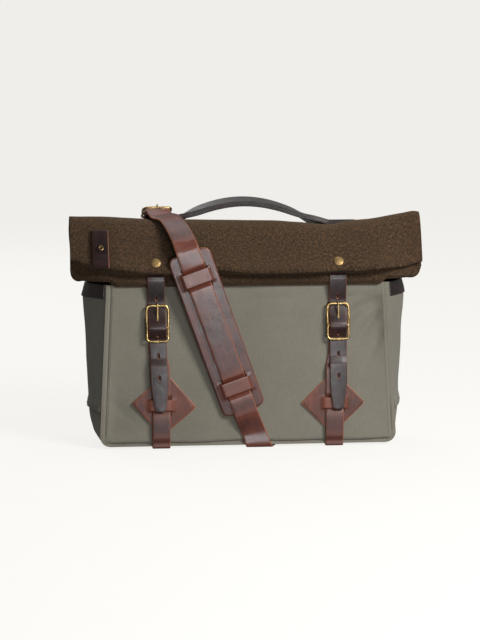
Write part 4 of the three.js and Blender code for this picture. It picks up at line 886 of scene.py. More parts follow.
SEATS = [[tab_seat(side * length / 2) for length in (HANDLE_ARCH, HANDLE)] for side in (-1, 1)]
ENDS = [max(seats, key=lambda seat: seat[1]) for seats in SEATS]


def handle_frame(x):
    """Depth, height and tilt of the handle's middle line."""
    share = x / HANDLE + 0.5
    arch = (1 - min(1, 2 * abs(x - HANDLE_SHIFT) / HANDLE_ARCH) ** 2) ** 1.3
    return (mix(ENDS[0][0], ENDS[1][0], share),
            mix(ENDS[0][1], ENDS[1][1], smooth(share * 1.4 - 0.2)) + HANDLE_RISE * arch,
            mix(ENDS[0][2], ENDS[1][2], share) * (1 - smooth(arch * 1.6)))


def handle_piece():
    """Handle: a squared cosine arch between flat tabs. Its section is a rounded rectangle whose edge
    shows three layers as two shallow grooves; the ends are rounded in plan by a quarter ellipse."""
    near_end = np.linspace(0.96, 1, 9)
    stations = np.concatenate([-near_end[::-1], np.linspace(-0.955, 0.955, 161), near_end])
    xs = stations * HANDLE / 2
    frames = np.array([handle_frame(x) for x in xs])
    line = np.column_stack([xs, frames[:, 1]])
    up = unit(line - offset_line(line, 1.0))
    arch = np.clip(frames[:, 1] - frames[:, 1].min() - 4, 0, None) / HANDLE_RISE
    y, tilt = frames[:, 0], frames[:, 2] - np.radians(6) * smooth(arch)
    end = clamp01((HANDLE / 2 - abs(xs)) / 11)
    width = HANDLE_WIDTH / 2 * np.sqrt(np.clip(1 - (1 - end) ** 2.4, 0.25, 1))
    half = HANDLE_THICK / 2
    turn = np.linspace(0, np.pi / 2, 5)
    top = np.linspace(-1, 1, 17)[1:-1]
    corner = 1.1
    edge_levels = np.linspace(half - corner, -half + corner, 15)[1:-1]
    groove = 0.35 * sum(np.exp(-((edge_levels - level) / 0.22) ** 2) for level in (1.15, -1.15))
    points = []
    for i in range(len(xs)):
        w = width[i]
        a = np.concatenate([top * (w - corner), w - corner + corner * np.sin(turn), w - groove,
                            w - corner + corner * np.cos(turn)])
        a = np.concatenate([a, -a])
        h = np.concatenate([np.full(len(top), half), half - corner + corner * np.cos(turn), edge_levels,
                            -half + corner - corner * np.sin(turn)])
        h = np.concatenate([h, -h])
        h = h + np.where(abs(h) > half - 0.01, -np.sign(h) * 0.5 * np.clip(abs(a) / w, 0, 1) ** 6, 0)
        side = np.array([0, math.cos(tilt[i]), -math.sin(tilt[i])])
        rise = np.array([up[i, 0], math.sin(tilt[i]) * up[i, 1], math.cos(tilt[i]) * up[i, 1]])
        points.append(np.array([xs[i], y[i], line[i, 1]]) + a[:, None] * side + h[:, None] * rise)
    points = np.array(points)
    around = distances(points[60])
    uv = np.stack(np.broadcast_arrays(around, xs[:, None]), -1).reshape(-1, 2)
    rim = np.zeros(points.shape[:2])
    edge = 2 * len(turn) + len(edge_levels)
    rim[:, len(top):len(top) + edge] = 1
    rim[:, 2 * len(top) + edge:] = 1
    make("handle_grip", tipped(points), closed_ends(*points.shape[:2]),
         np.concatenate([uv, [[0, xs[0]], [0, xs[-1]]]]), "dark_leather", GRIP, node="handle",
         marks={"rim": np.append(rim.ravel(), [1, 1])})


# The shoulder strap

def wrap_route():
    """Route round the bag, and how far it is folded parallel to the bag's edge at each point. Columns of
    the rows: y, z, x as a share of the wool's width, and the fold."""
    y_tab, z_tab, tilt = handle_frame(-SPACING * 0.42)
    half = HANDLE_WIDTH / 2

    def tab_top(side):
        return (y_tab + side * half * math.cos(tilt),
                z_tab - side * half * math.sin(tilt) + HANDLE_THICK / 2 / math.cos(tilt) + FIT)

    back_y, back_z = tab_top(1.25)
    front_y, front_z = tab_top(-1.65)
    edge = flap_line(-SPACING * 0.3)[-1]
    pad_top = RIDGE - FLAP_HEIGHT * 0.56
    pad_foot = pad_top - PAD_LENGTH * 0.96

    def pad_line(z):
        return edge[0] - WOOL * 0.5 - FIT * 2 + (edge[1] - z) * 0.034

    def back(z):
        return front_depth(0, z) + FIT

    wool_back = back(HEM) + WOOL + FIT
    rise, low, back_low = 3.2, CANVAS_TOP * 0.093, CANVAS_TOP * 0.155
    rows = [
        [back(CANVAS_TOP * 0.84), CANVAS_TOP * 0.84, -0.302, 0],
        [back(CANVAS_TOP * 0.9), CANVAS_TOP * 0.93, -0.299, 0],
        [wool_back, CANVAS_TOP, -0.288, 0],
        [wool_back, mix(HEM, RIDGE, 0.58), -0.268, 0],
        [back_y + rise * 1.1, back_z - rise * 1.55, -0.25, 0],
        [back_y, back_z + rise * 0.5, -0.248, 1],
        [front_y, front_z + rise, -0.248, 1],
        [RIDGE_Y - rise, RIDGE + rise, -0.24, 0],
        [RIDGE_Y - FLAP_REACH * 0.3, RIDGE + rise * 0.3, -0.219, 0],
        [RIDGE_Y - FLAP_REACH * 0.66, mix(FLAP_EDGE, RIDGE, 0.83), -0.199, 0],
        [pad_line(pad_top) + SHOULDER_THICK, pad_top + SHOULDER * 0.32, -0.184, 0],
        [pad_line(pad_top), pad_top, -0.176, 0],
        [pad_line(pad_foot), pad_foot, -0.009, 0],
        [-front_depth(0, low), low, 0.014, 0.5],
        [-front_depth(0, BASE), BASE, 0.03, 1],
        [front_depth(0, BASE), BASE, 0.114, 1],
        [front_depth(0, back_low), back_low, 0.138, 0],
        [back(CANVAS_TOP * 0.5) - FIT, CANVAS_TOP * 0.5, 0.2, 0],
        [back(CANVAS_TOP * 0.92) - FIT, CANVAS_TOP * 0.92, 0.272, 0],
    ]
    return (np.array([[x * TWEED_WIDTH, y, z] for y, z, x, _ in rows], float),
            np.array([row[3] for row in rows], float))


ROUTE, FOLD = wrap_route()
ROUTE_LENGTH = distances(ROUTE)


def wrap_frame(distance):
    last = len(ROUTE) - 1
    hit = np.flatnonzero(abs(ROUTE_LENGTH - distance) < 1e-6)
    at = int(hit[0]) if len(hit) else -1
    following = at if at >= 0 else int(np.clip(np.searchsorted(ROUTE_LENGTH, distance), 1, last))
    start = max(0, at - 1) if at >= 0 else following - 1
    stop = min(last, at + 1) if at >= 0 else following
    legs = [(start, at), (at, stop)] if 0 < at < last else [(start, stop)]
    along, out, first = np.zeros(3), np.zeros(3), None
    for a, b in legs:
        leg = unit(ROUTE[b] - ROUTE[a])
        normal = unit(np.array([0, leg[2], -leg[1]]))
        along, out = along + leg, out + normal
        first = normal if first is None else first
    along, out = unit(along), unit(out)
    stretch = 1 / max(0.6, out @ first)
    across = unit(np.cross(out, along))
    share = (distance - ROUTE_LENGTH[start]) / (ROUTE_LENGTH[stop] - ROUTE_LENGTH[start])
    point = ROUTE[at] if at >= 0 else mix(ROUTE[start], ROUTE[stop], share)
    fold = FOLD[at] if at >= 0 else mix(FOLD[start], FOLD[stop], share)
    across = mix(across, np.array([1 / across[0], 0, 0]), fold)
    return point, along, out, across, stretch


SHOULDER_BUCKLE = buckle_levels(SHOULDER_THICK)
SHOULDER_BUCKLE_WIDTH = SHOULDER + ROD * 2 + FIT * 4 + 4
BUCKLE_AT = mix(ROUTE_LENGTH[5], ROUTE_LENGTH[6], 0.405)
PAD_START = ROUTE_LENGTH[11] + FIT * 4
PAD_BRIDGE = BRIDGE * 1.3
PAD_BRIDGES = [PAD_LENGTH * 0.158, PAD_LENGTH * (1 - 0.158)]
SHOULDER_LYING = FIT + SHOULDER_THICK / 2
OVER_PAD = FIT * 3 + PAD_THICK + SHOULDER_THICK / 2
TIP_AT = BUCKLE_AT - SHOULDER_BUCKLE["lower"] - SHOULDER_TAIL


def with_corners(rows, start, stop):
    known = np.array([row[0] for row in rows])
    extra = [length for length in ROUTE_LENGTH
             if start + 0.5 < length < stop - 0.5 and np.min(abs(known - length)) > 0.5]
    levels = np.interp(extra, *zip(*sorted(rows))) if len(extra) else []
    return sorted(rows + [[a, float(b)] for a, b in zip(extra, levels)])


def route_band(name, rows, width, **kwargs):
    """Strap along the route: each row's place, moved out by its level, then a curve through them; its
    width runs across the route's own frame."""
    points, sides = [], []
    for distance, level in rows:
        point, _, out, side, stretch = wrap_frame(distance)
        points.append(point + out * level * stretch)
        sides.append(side)
    points, sides = np.array(points), np.array(sides)
    path = round_line(points, 1.2)
    along, knots = distances(path), distances(points)
    knots = knots * along[-1] / knots[-1]
    across = np.stack([np.interp(along, knots, sides[:, k]) for k in range(3)], -1)
    out = unit(np.cross(np.gradient(path, axis=0), across))
    band(name, path, across, out, width(along), SHOULDER_THICK, slot="red_leather", material=RED, **kwargs)


def shoulder_rows():
    through = [[BUCKLE_AT + a, b] for a, b in through_rows(SHOULDER_BUCKLE)]
    over_short = SHOULDER_LYING + SHOULDER_THICK + FIT * 3.5
    weave = []
    for middle in PAD_BRIDGES:
        near, far = PAD_BRIDGE / 2 + 0.3, PAD_BRIDGE / 2 + SLOT - SHOULDER_THICK * 0.5
        weave += [[PAD_START + middle + a, b] for a, b in
                  ((-far, OVER_PAD), (-near, SHOULDER_LYING), (near, SHOULDER_LYING), (far, OVER_PAD))]
    end = ROUTE_LENGTH[-1]
    return with_corners([
        [TIP_AT, over_short], [TIP_AT + SHOULDER_TIP, over_short], *through[::-1],
        [PAD_START - SHOULDER_THICK * 5, SHOULDER_LYING + FIT * 3],
        [PAD_START - SHOULDER_THICK * 1.6, OVER_PAD],
        *weave, [PAD_START + PAD_LENGTH + SHOULDER_THICK * 0.8, OVER_PAD],
        [ROUTE_LENGTH[13], SHOULDER_LYING], [end, SHOULDER_LYING],
    ], TIP_AT, end)


def short_rows():
    """Short strap: from its end on the back to the buckle, round the centre bar and back on itself."""
    chape = [[BUCKLE_AT + a, b] for a, b in chape_rows(SHOULDER_BUCKLE)]
    keeper = BUCKLE_AT - SHOULDER_BUCKLE["lower"] - SHOULDER_THICK * 1.8
    beneath = [[d, SHOULDER_LYING] for d in (0, TIP_AT, TIP_AT + SHOULDER_TIP, keeper)]
    return with_corners(beneath + [chape[0]], 0, chape[0][0]) + chape[1:]


def buckle_place():
    point, along, out = wrap_frame(BUCKLE_AT)[:3]
    return lambda p: point + p @ np.array([np.cross(-out, along), -out, along])


def turned(angle, at, half_turn=False):
    """A placement: a turn about the x axis, or half a turn about the z axis, then a move."""
    c, s = math.cos(angle), math.sin(angle)
    matrix = np.diag([-1, -1, 1]) if half_turn else np.array([[1, 0, 0], [0, c, -s], [0, s, c]])
    return lambda p: p @ matrix.T + at


def front_place(row):
    x = strap_middle(row, BUCKLE_Z)
    return turned(front_lean(x, BUCKLE_Z), [x, -front_depth(x, BUCKLE_Z), BUCKLE_Z])


# Brass

FRAME_ROWS = [
    [0, 1], [0.45, 1.012], [0.8, 0.985], [0.965, 0.86], [1, 0.62], [0.99, 0.3], [0.955, 0], [0.96, -0.35],
    [0.975, -0.7], [0.93, -0.9], [0.78, -0.985], [0.4, -1.01], [0, -1.02],
]


def tube(path, radius, closed=False, sides=14):
    """Round rod along a path: circles of the local radius square to the path, each turned with the
    last one; open ends close on a half dome."""
    path = np.asarray(path, float)
    radius = np.broadcast_to(radius, len(path)).astype(float)
    tangent = unit(np.roll(path, -1, 0) - np.roll(path, 1, 0) if closed else np.gradient(path, axis=0))
    side = unit(np.cross(tangent[0], [0.13, 1, 0.07]))
    a = []
    for t in tangent:
        side = unit(side - t * (side @ t))
        a.append(side)
    a = np.array(a)
    b = np.cross(tangent, a)
    if not closed:
        dome = np.radians([75, 50, 25])
        reach, shrink = np.sin(dome)[:, None], np.cos(dome)
        path = np.concatenate([path[0] - tangent[0] * radius[0] * reach, path,
                               (path[-1] + tangent[-1] * radius[-1] * reach)[::-1]])
        radius = np.concatenate([radius[0] * shrink, radius, radius[-1] * shrink[::-1]])
        a, b = [np.pad(each, ((3, 3), (0, 0)), "edge") for each in (a, b)]
    turn = np.linspace(0, 2 * np.pi, sides, endpoint=False)[:, None]
    rings = path[:, None] + radius[:, None, None] * (np.cos(turn) * a[:, None] + np.sin(turn) * b[:, None])
    if closed:
        points = rings.reshape(-1, 3)
        return points, [lattice(len(path) + 1, sides, wrap=True) % len(points)]
    return tipped(rings), closed_ends(len(path), sides)


def gather(name, parts, place, **kwargs):
    """Several closed bodies, placed and made as one piece."""
    points, faces, start = [], [], 0
    for body, groups in parts:
        faces += [group + start for group in facing_out(body, groups)]
        points.append(body)
        start += len(body)
    points = np.concatenate(points)
    make(name, place(points), faces, points[:, [0, 2]], **kwargs)


def buckle_parts(width, b):
    """Buckle: a rod round a closed outline of table rows, heavier along its top, with a centre bar and a
    nub on the bottom bar."""
    half = width / 2 - ROD
    right = [[half * across, along] for across, along in FRAME_ROWS]
    path = [[x, -mix(b["centre"], b["top" if along > 0 else "keeper"], abs(along)),
             along * b["upper" if along > 0 else "lower"]]
            for x, along in right + [[-x, along] for x, along in right[-2:0:-1]]]
    closed = np.array(path + path[:2])
    fine = round_line(np.concatenate([closed[-3:-2], closed]), 0.8)
    start = int(np.argmin(np.linalg.norm(fine - closed[0], axis=1)))
    stop = start + 5 + int(np.argmin(np.linalg.norm(fine[start + 5:] - closed[-2], axis=1)))
    fine = fine[start:stop]
    top_share = clamp01((fine[:, 2] / b["upper"] - 0.8) / 0.2)
    bar = np.linspace(-half * 0.955, half * 0.955, 9)
    nub = np.linspace(-0.9, 0.9, 5)
    return [tube(fine, mix(ROD, TOP_BAR, top_share), closed=True),
            tube(as_grid(bar, -b["centre"], 0), CENTRE_BAR),
            tube(as_grid(0, -b["keeper"], nub - b["lower"] * 1.03), NUB)]


def prong_parts(b):
    """Prong: a ring round the centre bar, and a tongue that tapers to a lip over the top bar."""
    hole = CENTRE_BAR + FIT
    thin = 0.7
    turn = np.linspace(0, 2 * np.pi, 28, endpoint=False)
    ring = as_grid(0, -b["centre"] + (hole + thin) * np.sin(turn), (hole + thin) * np.cos(turn))
    rest = b["top"] + TOP_BAR + FIT + PRONG
    t = np.linspace(0, 1, 22)
    level = mix(-b["centre"] - hole - PRONG * 0.5, -rest, smooth(t * 1.15)) - 0.35 * np.sin(np.pi * t)
    tongue = as_grid(0, level, mix(PRONG, b["upper"] + TOP_BAR * 0.9, t))
    return [tube(ring, thin, closed=True), tube(tongue, mix(PRONG, PRONG * 0.78, t))]


def rivet_piece(name, node, place, radius, material, flat=0.72, dish=0.0):
    """Rivet: a low dome turned about its axis from a profile with a rim groove, and a short post; a
    dish in its middle is a bell-shaped dip."""
    height = RIVET_HEIGHT * radius / RIVET * flat
    sunk = 1.2
    t = np.linspace(0, 1, 14)
    share = np.sin(t * 1.32) / math.sin(1.32)
    groove = 0.1 * np.exp(-((share - 0.86) / 0.05) ** 2)
    up = height * (0.18 + 0.8 * np.cos(t * 1.5) - groove - dish * smooth((0.55 - share) / 0.2))
    foot = [[radius * 0.99, height * 0.1], [radius * 0.95, 0.02], [POST, 0], [POST, -sunk]]
    profile = np.concatenate([np.column_stack([radius * share, up])[1:], foot])
    out, up = profile[:, :1], profile[:, 1:]
    turn = np.linspace(0, 2 * np.pi, 40, endpoint=False)
    rings = as_grid(out * np.cos(turn), -FIT - up, out * np.sin(turn))
    tips = [[0, -FIT - height * (0.98 - dish), 0], [0, sunk - FIT, 0]]
    points = np.concatenate([rings.reshape(-1, 3), tips])
    make(name, place(points), closed_ends(*rings.shape[:2]), points[:, [0, 2]], "brass", material, node=node)


# Materials: colours are given as sRGB shares of 255

def srgb(*rgb):
    c = np.array(rgb) / 255
    return (*np.where(c <= 0.04045, c / 12.92, ((c + 0.055) / 1.055) ** 2.4), 1.0)


class Graph:
    """A material's nodes, added one at a time and linked by their sockets."""

    def __init__(self, name):
        self.material = bpy.data.materials.new(name)
        self.material.use_nodes = True
        self.tree = self.material.node_tree
        self.shader = self.tree.nodes["Principled BSDF"]

    def add(self, kind, values=(), **settings):
        node = self.tree.nodes.new(kind)
        for key, value in settings.items():
            setattr(node, key, value)
        for key, value in dict(values).items():
            if isinstance(value, bpy.types.NodeSocket):
                self.tree.links.new(value, node.inputs[key])
            else:
                node.inputs[key].default_value = value
        return node

    def math(self, operation, a, b=0.0, clamp=False):
        return self.add("ShaderNodeMath", {0: a, 1: b}, operation=operation, use_clamp=clamp).outputs[0]

    def total(self, *terms):
        """Sum of values, each times its weight."""
        result = 0.0
        for value, weight in terms:
            values = {0: value, 1: weight, 2: result}
            result = self.add("ShaderNodeMath", values, operation="MULTIPLY_ADD").outputs[0]
        return result

    def noise(self, vector, scale, detail=3.0, roughness=0.55, distortion=0.0):
        values = {"Vector": vector, "Scale": scale, "Detail": detail, "Roughness": roughness,
                  "Distortion": distortion}
        return self.add("ShaderNodeTexNoise", values).outputs["Fac"]

    def stretched(self, vector, scales, *shape):
        """Noise over a vector with its own scale along each axis."""
        scaled = self.add("ShaderNodeVectorMath", {0: vector, 1: scales}, operation="MULTIPLY")
        return self.noise(scaled.outputs[0], 1.0, *shape)

    def ramp(self, value, low, high, start=0.0, stop=1.0):
        values = {"Value": value, "From Min": low, "From Max": high, "To Min": start, "To Max": stop}
        return self.add("ShaderNodeMapRange", values, clamp=True).outputs["Result"]

    def blend(self, share, a, b):
        return self.add("ShaderNodeMix", {0: share, 6: a, 7: b}, data_type="RGBA").outputs[2]

    def stain(self, base, colour, value, low, high, most=1.0):
        """The base turned towards a colour as a value goes from low to high, at most by a share."""
        return self.blend(self.ramp(value, low, high, 0.0, most), base, colour)

    def place(self):
        return self.add("ShaderNodeTexCoord").outputs["Object"]

    def cloth(self):
        return self.add("ShaderNodeUVMap", uv_map="cloth").outputs["UV"]

    def line(self, vector, direction):
        """Sine of the running distance along a direction, whose length is the turns a metre."""
        turns = self.add("ShaderNodeVectorMath", {0: vector, 1: direction}, operation="DOT_PRODUCT")
        return self.math("SINE", self.math("MULTIPLY", turns.outputs["Value"], 2 * math.pi))

    def attribute(self, name):
        return self.add("ShaderNodeAttribute", attribute_name=name).outputs["Fac"]

    def set(self, **values):
        """Links the shader's sockets, or sets them where the value is a number or a colour."""
        for key, value in values.items():
            socket = self.shader.inputs[key.replace("_", " ")]
            if isinstance(value, bpy.types.NodeSocket):
                self.tree.links.new(value, socket)
            else:
                socket.default_value = value

    def bump(self, height, distance, strength=1.0, under=None):
        values = {"Height": height, "Distance": distance, "Strength": strength}
        if under is not None:
            values["Normal"] = under
        return self.add("ShaderNodeBump", values).outputs["Normal"]


def canvas_material():
    """Canvas: a twill of fine diagonal lines crossed by the yarns, slubs both ways, a faint cloudy fade
    and dark specks."""
    g = Graph("canvas_twill")
    uv, place = g.cloth(), g.place()
    twill, weft, warp = [g.line(uv, turns) for turns in ((620, 620, 0), (0, 1250, 0), (1250, 0, 0))]
    slub, slub_up = g.stretched(uv, (60, 900, 0), 4), g.stretched(uv, (900, 60, 0), 4)
    cloud = g.noise(place, 9.0, 4, 0.6)
    speck = g.noise(place, 900.0, 2, 0.6)
    colour = g.blend(g.ramp(cloud, 0.3, 0.7), srgb(99, 96, 86), srgb(112, 108, 98))
    colour = g.stain(colour, srgb(140, 134, 121), g.total((twill, 0.5), (slub, 1.0)), -0.1, 1.1, 0.34)
    colour = g.stain(colour, srgb(86, 81, 72), slub_up, 0.52, 0.75, 0.3)
    colour = g.stain(colour, srgb(74, 70, 62), speck, 0.3, 0.75, 0.24)
    fine = g.bump(g.total((twill, 0.55), (weft, 0.22), (warp, 0.22), (slub, 0.7)), 0.00014, 0.75)
    soft = g.bump(g.noise(place, 55.0, 3, 0.5), 0.0012, 0.4, under=fine)
    g.set(Base_Color=colour, Roughness=g.ramp(speck, 0.2, 0.8, 0.78, 0.93), Normal=soft, Sheen_Weight=0.12,
          Sheen_Roughness=0.45, Specular_IOR_Level=0.15)
    return g.material


def wool_material():
    """Wool tweed: two-ply speckle of dark brown, golden and rust yarns in a faint diagonal weave, with
    long hairs standing off it as a deep fine bump and a soft sheen."""
    g = Graph("wool_tweed")
    uv, place = g.cloth(), g.place()
    twill, cross = g.line(uv, (260, 300, 0)), g.line(uv, (-300, 260, 0))
    fleck, gold = g.stretched(uv, (290, 500, 0), 5, 0.68), g.stretched(uv, (470, 300, 0), 5, 0.7)
    rust = g.noise(place, 150.0, 3, 0.6)
    cloud = g.noise(place, 16.0, 4, 0.6)
    colour = g.blend(g.ramp(fleck, 0.36, 0.66), srgb(25, 18, 14), srgb(68, 52, 38))
    colour = g.stain(colour, srgb(112, 88, 62), gold, 0.5, 0.7, 0.62)
    colour = g.stain(colour, srgb(98, 62, 38), rust, 0.56, 0.72, 0.35)
    colour = g.stain(colour, srgb(30, 23, 17), g.math("MULTIPLY", twill, cross), 0.0, 0.9, 0.4)
    colour = g.stain(colour, srgb(50, 38, 28), cloud, 0.35, 0.7, 0.35)
    hairs = g.noise(place, 700.0, 4, 0.7)
    fine = g.bump(g.total((fleck, 1.0), (twill, 0.25), (hairs, 0.8)), 0.0007, 0.8)
    soft = g.bump(g.noise(place, 75.0, 3, 0.5), 0.0016, 0.5, under=fine)
    g.set(Base_Color=colour, Roughness=0.96, Normal=soft, Sheen_Weight=0.3, Sheen_Roughness=0.6,
          Sheen_Tint=srgb(140, 118, 92), Specular_IOR_Level=0.12)
    return g.material


def leather_material(name, tones, gloss, coat, pulled):
    """Waxed leather: a cloudy colour of three tones, lighter where it was bent, fine pores and creases
    as bump, raw edges from the rim attribute, painted shade near black in the holes where that
    attribute passes 1.3, and a thin waxy coat. The tones are the deep, middle and light ones and the
    raw edge's."""
    g = Graph(name)
    deep, middle, light, raw = (srgb(*tone) for tone in tones)
    place, uv = g.place(), g.cloth()
    rim = g.attribute("rim")
    cloud = g.noise(place, 24.0, 5, 0.62, 0.6)
    mottle = g.noise(place, 110.0, 4, 0.6)
    streak, scuff = g.stretched(uv, (240, 26, 0), 4), g.stretched(uv, (90, 900, 0), 3)
    colour = g.blend(g.ramp(cloud, 0.32, 0.68), deep, middle)
    colour = g.stain(colour, light, streak, 0.5, 0.78, 0.45)
    colour = g.blend(g.math("MULTIPLY", g.attribute("bend"), pulled, clamp=True), colour, light)
    colour = g.stain(colour, deep, mottle, 0.5, 0.8, 0.3)
    colour = g.stain(colour, light, scuff, 0.66, 0.78, 0.25)
    colour = g.stain(colour, raw, g.total((rim, 1.0), (mottle, 0.5)), 0.75, 1.25, 0.85)
    # Painted shade: near black in the holes, where the rim mark passes 1.3.
    colour = g.stain(colour, srgb(14, 9, 8), rim, 1.3, 1.8)
    pores = g.add("ShaderNodeTexVoronoi", {"Vector": place, "Scale": 1300.0}).outputs["Distance"]
    fine = g.bump(g.total((pores, 0.5), (g.noise(place, 420.0, 4, 0.6), 0.7)), 0.00022, 0.55)
    soft = g.bump(g.noise(place, 60.0, 3, 0.5), 0.0011, 0.35, under=fine)
    rough = g.ramp(g.total((cloud, 1.0), (mottle, 0.5)), 0.4, 1.0, gloss - 0.08, gloss + 0.16)
    rough = g.math("ADD", rough, g.math("MULTIPLY", rim, 0.3), clamp=True)
    g.set(Base_Color=colour, Roughness=rough, Normal=soft, Specular_IOR_Level=0.36, Coat_Weight=coat,
          Coat_Roughness=0.3)
    return g.material


def brass_material(name, bright, dull, polish=0.0):
    """Antique brass: bright on the rubbed tops and brown in the hollows by cloudy noise, finely brushed."""
    g = Graph(name)
    place = g.place()
    patina = g.noise(place, 170.0, 5, 0.65)
    spots = g.noise(place, 620.0, 3, 0.6)
    colour = g.blend(g.ramp(patina, 0.42, 0.66), srgb(*bright), srgb(*dull))
    colour = g.stain(colour, srgb(78, 58, 34), spots, 0.6, 0.75, 0.6)
    g.set(Base_Color=colour, Roughness=g.ramp(patina, 0.35, 0.7, 0.24 + polish, 0.44 + polish), Metallic=1.0,
          Normal=g.bump(spots, 0.00012, 0.5))
    return g.material


def thread_material(name, colour, shade):
    """Sewing thread: twisted plies as fine bands of two tones."""
    g = Graph(name)
    ply = g.noise(g.place(), 1500.0, 2, 0.5)
    g.set(Base_Color=g.blend(g.ramp(ply, 0.35, 0.65), srgb(*colour), srgb(*shade)), Roughness=0.8,
          Normal=g.bump(ply, 0.0002, 0.6))
    return g.material


CANVAS_LOOK = canvas_material()
WOOL_LOOK = wool_material()
DARK = leather_material("dark_waxed_leather", [(18, 11, 11), (38, 22, 21), (66, 37, 33), (116, 70, 50)],
                        gloss=0.33, coat=0.12, pulled=0.25)
RED = leather_material("red_waxed_leather", [(42, 20, 17), (76, 37, 29), (116, 60, 42), (148, 84, 54)],
                       gloss=0.33, coat=0.4, pulled=0.4)
TAN = leather_material("tan_waxed_leather", [(58, 28, 20), (92, 46, 33), (130, 73, 52), (172, 116, 88)],
                       gloss=0.5, coat=0.12, pulled=0.4)
LOWER = leather_material("lower_strap_leather", [(44, 24, 21), (72, 38, 32), (104, 60, 48), (140, 88, 64)],
                         gloss=0.44, coat=0.15, pulled=0.45)
# The handle's grey tones are a painted reflection: the light's sheen on the top of its smooth dark leather,
# given as base colour.
GRIP = leather_material("handle_leather_painted_reflection", [(46, 43, 44), (68, 64, 64), (100, 95, 94), (32, 23, 21)],
                        gloss=0.44, coat=0.25, pulled=0.3)
BRASS = brass_material("antique_brass", (196, 166, 112), (128, 102, 64))
RIVET_BRASS = brass_material("rivet_brass", (150, 124, 84), (104, 82, 54), polish=0.2)
OLD_BRASS = brass_material("dull_brass", (112, 92, 66), (66, 52, 38))
THREAD = thread_material("canvas_thread", (92, 90, 80), (66, 64, 57))
WOOL_THREAD = thread_material("wool_thread", (52, 40, 29), (34, 26, 19))


# Stitches

def stitches(name, path, out, **kwargs):
    """Sewn seam: along a path of points, one short thread every pitch, each a rod that rises out of the
    cloth and dips back as a half sine, all joined in one piece."""
    pitch, length, radius = 2.6, 1.9, 0.28
    along = distances(path)
    t = np.linspace(0, 1, 5)
    arch = np.sin(np.pi * t)
    lift = as_grid(*out) * ((arch * 1.1 - 0.55) * radius)[:, None]
    parts = []
    for start in np.arange(pitch * 0.5, along[-1] - length, pitch):
        middle = np.stack([np.interp(start + t * length, along, path[:, k]) for k in range(3)], -1)
        parts.append(tube(middle + lift, radius * (0.72 + 0.28 * arch), sides=5))
    gather(name, parts, lambda p: p, **kwargs)


def seam_up(grid, z, x):
    """Points of a grid at the listed places: on each row of the height, the depth read at x."""
    rows = [int(np.argmin(abs(grid[:, 0, 2] - level))) for level in z]
    return np.array([[at, np.interp(at, grid[row, :, 0], grid[row, :, 1]), grid[row, 0, 2]]
                     for row, at in zip(rows, x)])


def seam_across(grid, z, columns):
    """Points of a grid along a seam that runs across it: in each column, the place at height z."""
    return np.array([[np.interp(level, grid[:, j, 2], grid[:, j, k]) for k in range(3)]
                     for j, level in zip(columns, z)])


# The tag, and what sits on the flap

def tag_piece():
    """Tag: a strip folded at its foot, following the flap; its side-view line is a curve through the
    two layers and the round turn."""
    foot = FLAP_EDGE + FLAP_HEIGHT * 0.13
    top = foot + TAG_LENGTH
    first = FIT * 1.5 + TAG_THICK / 2
    outer = first + TAG_THICK + FIT
    turn = (outer - first) / 2
    angles = np.radians([-55, -18, 18, 55])
    heights = [top, mix(foot, top, 0.66), mix(foot, top, 0.33), foot + turn * 2]
    line = [*[[z, first] for z in heights],
            *[[foot + turn * 1.6 * (1 - math.cos(a)), first + turn * (1 + math.sin(a))] for a in angles],
            *[[z, outer] for z in heights[::-1]]]
    left, face, right = (offset_line(flap_line(TAG_X + side * TAG_WIDTH / 2), WOOL / 2)
                         for side in (-1, 0, 1))
    centre, across = [], []
    for z, level in round_line(line, 0.6):
        slope = abs(depth_at(face, z + 2) - depth_at(face, z - 2)) / 4
        y_left, y_right = depth_at(left, z), depth_at(right, z)
        centre.append([TAG_X, (y_left + y_right) / 2 - level * math.hypot(1, slope), z])
        across.append([1, (y_right - y_left) / TAG_WIDTH, 0])
    centre, across = np.array(centre), np.array(across)
    out = unit(np.cross(np.gradient(centre, axis=0), across))
    band("tag_loop", centre, across, out, TAG_WIDTH, TAG_THICK, node="tag", **dark)


def flap_place(x, z, out):
    face = offset_line(flap_line(x), WOOL / 2)
    lean = -math.atan2(depth_at(face, z + 2) - depth_at(face, z - 2), 4)
    return turned(lean, [x, depth_at(face, z) - out / math.cos(lean), z])


# The bag, piece by piece

SIDES = ((-1, "left"), (1, "right"))
canvas = {"slot": "canvas", "material": CANVAS_LOOK}
sewn = {"slot": "canvas", "material": THREAD}
dark = {"slot": "dark_leather", "material": DARK}
brass = {"slot": "brass", "material": BRASS}

front_outer, front_inner = front_face()
slab("front_canvas", front_outer, front_inner, node="front_panel", **canvas)
slab("back_canvas", *back_face(), node="back_panel", **canvas)
slab("base_canvas", *base_grid(), node="base_panel", **canvas)
wool_outer, wool_inner = tweed_grid()
wool = slab("rolled_wool", wool_outer, wool_inner, rim=0.6, node="tweed_top", slot="tweed",
            material=WOOL_LOOK)
# The line up this column, close to the middle, gives the wool's cut length
near_middle = 70
gussets = {side: gusset_grid(side, 20 + side) for side, _ in SIDES}
for side, word in SIDES:
    slab(f"side_{word}", *gussets[side], node=f"gusset_{word}", **canvas)
    slab(f"side_patch_{word}", *patch_grid(side), rim=0.4, node=f"gusset_patch_{word}", **dark)

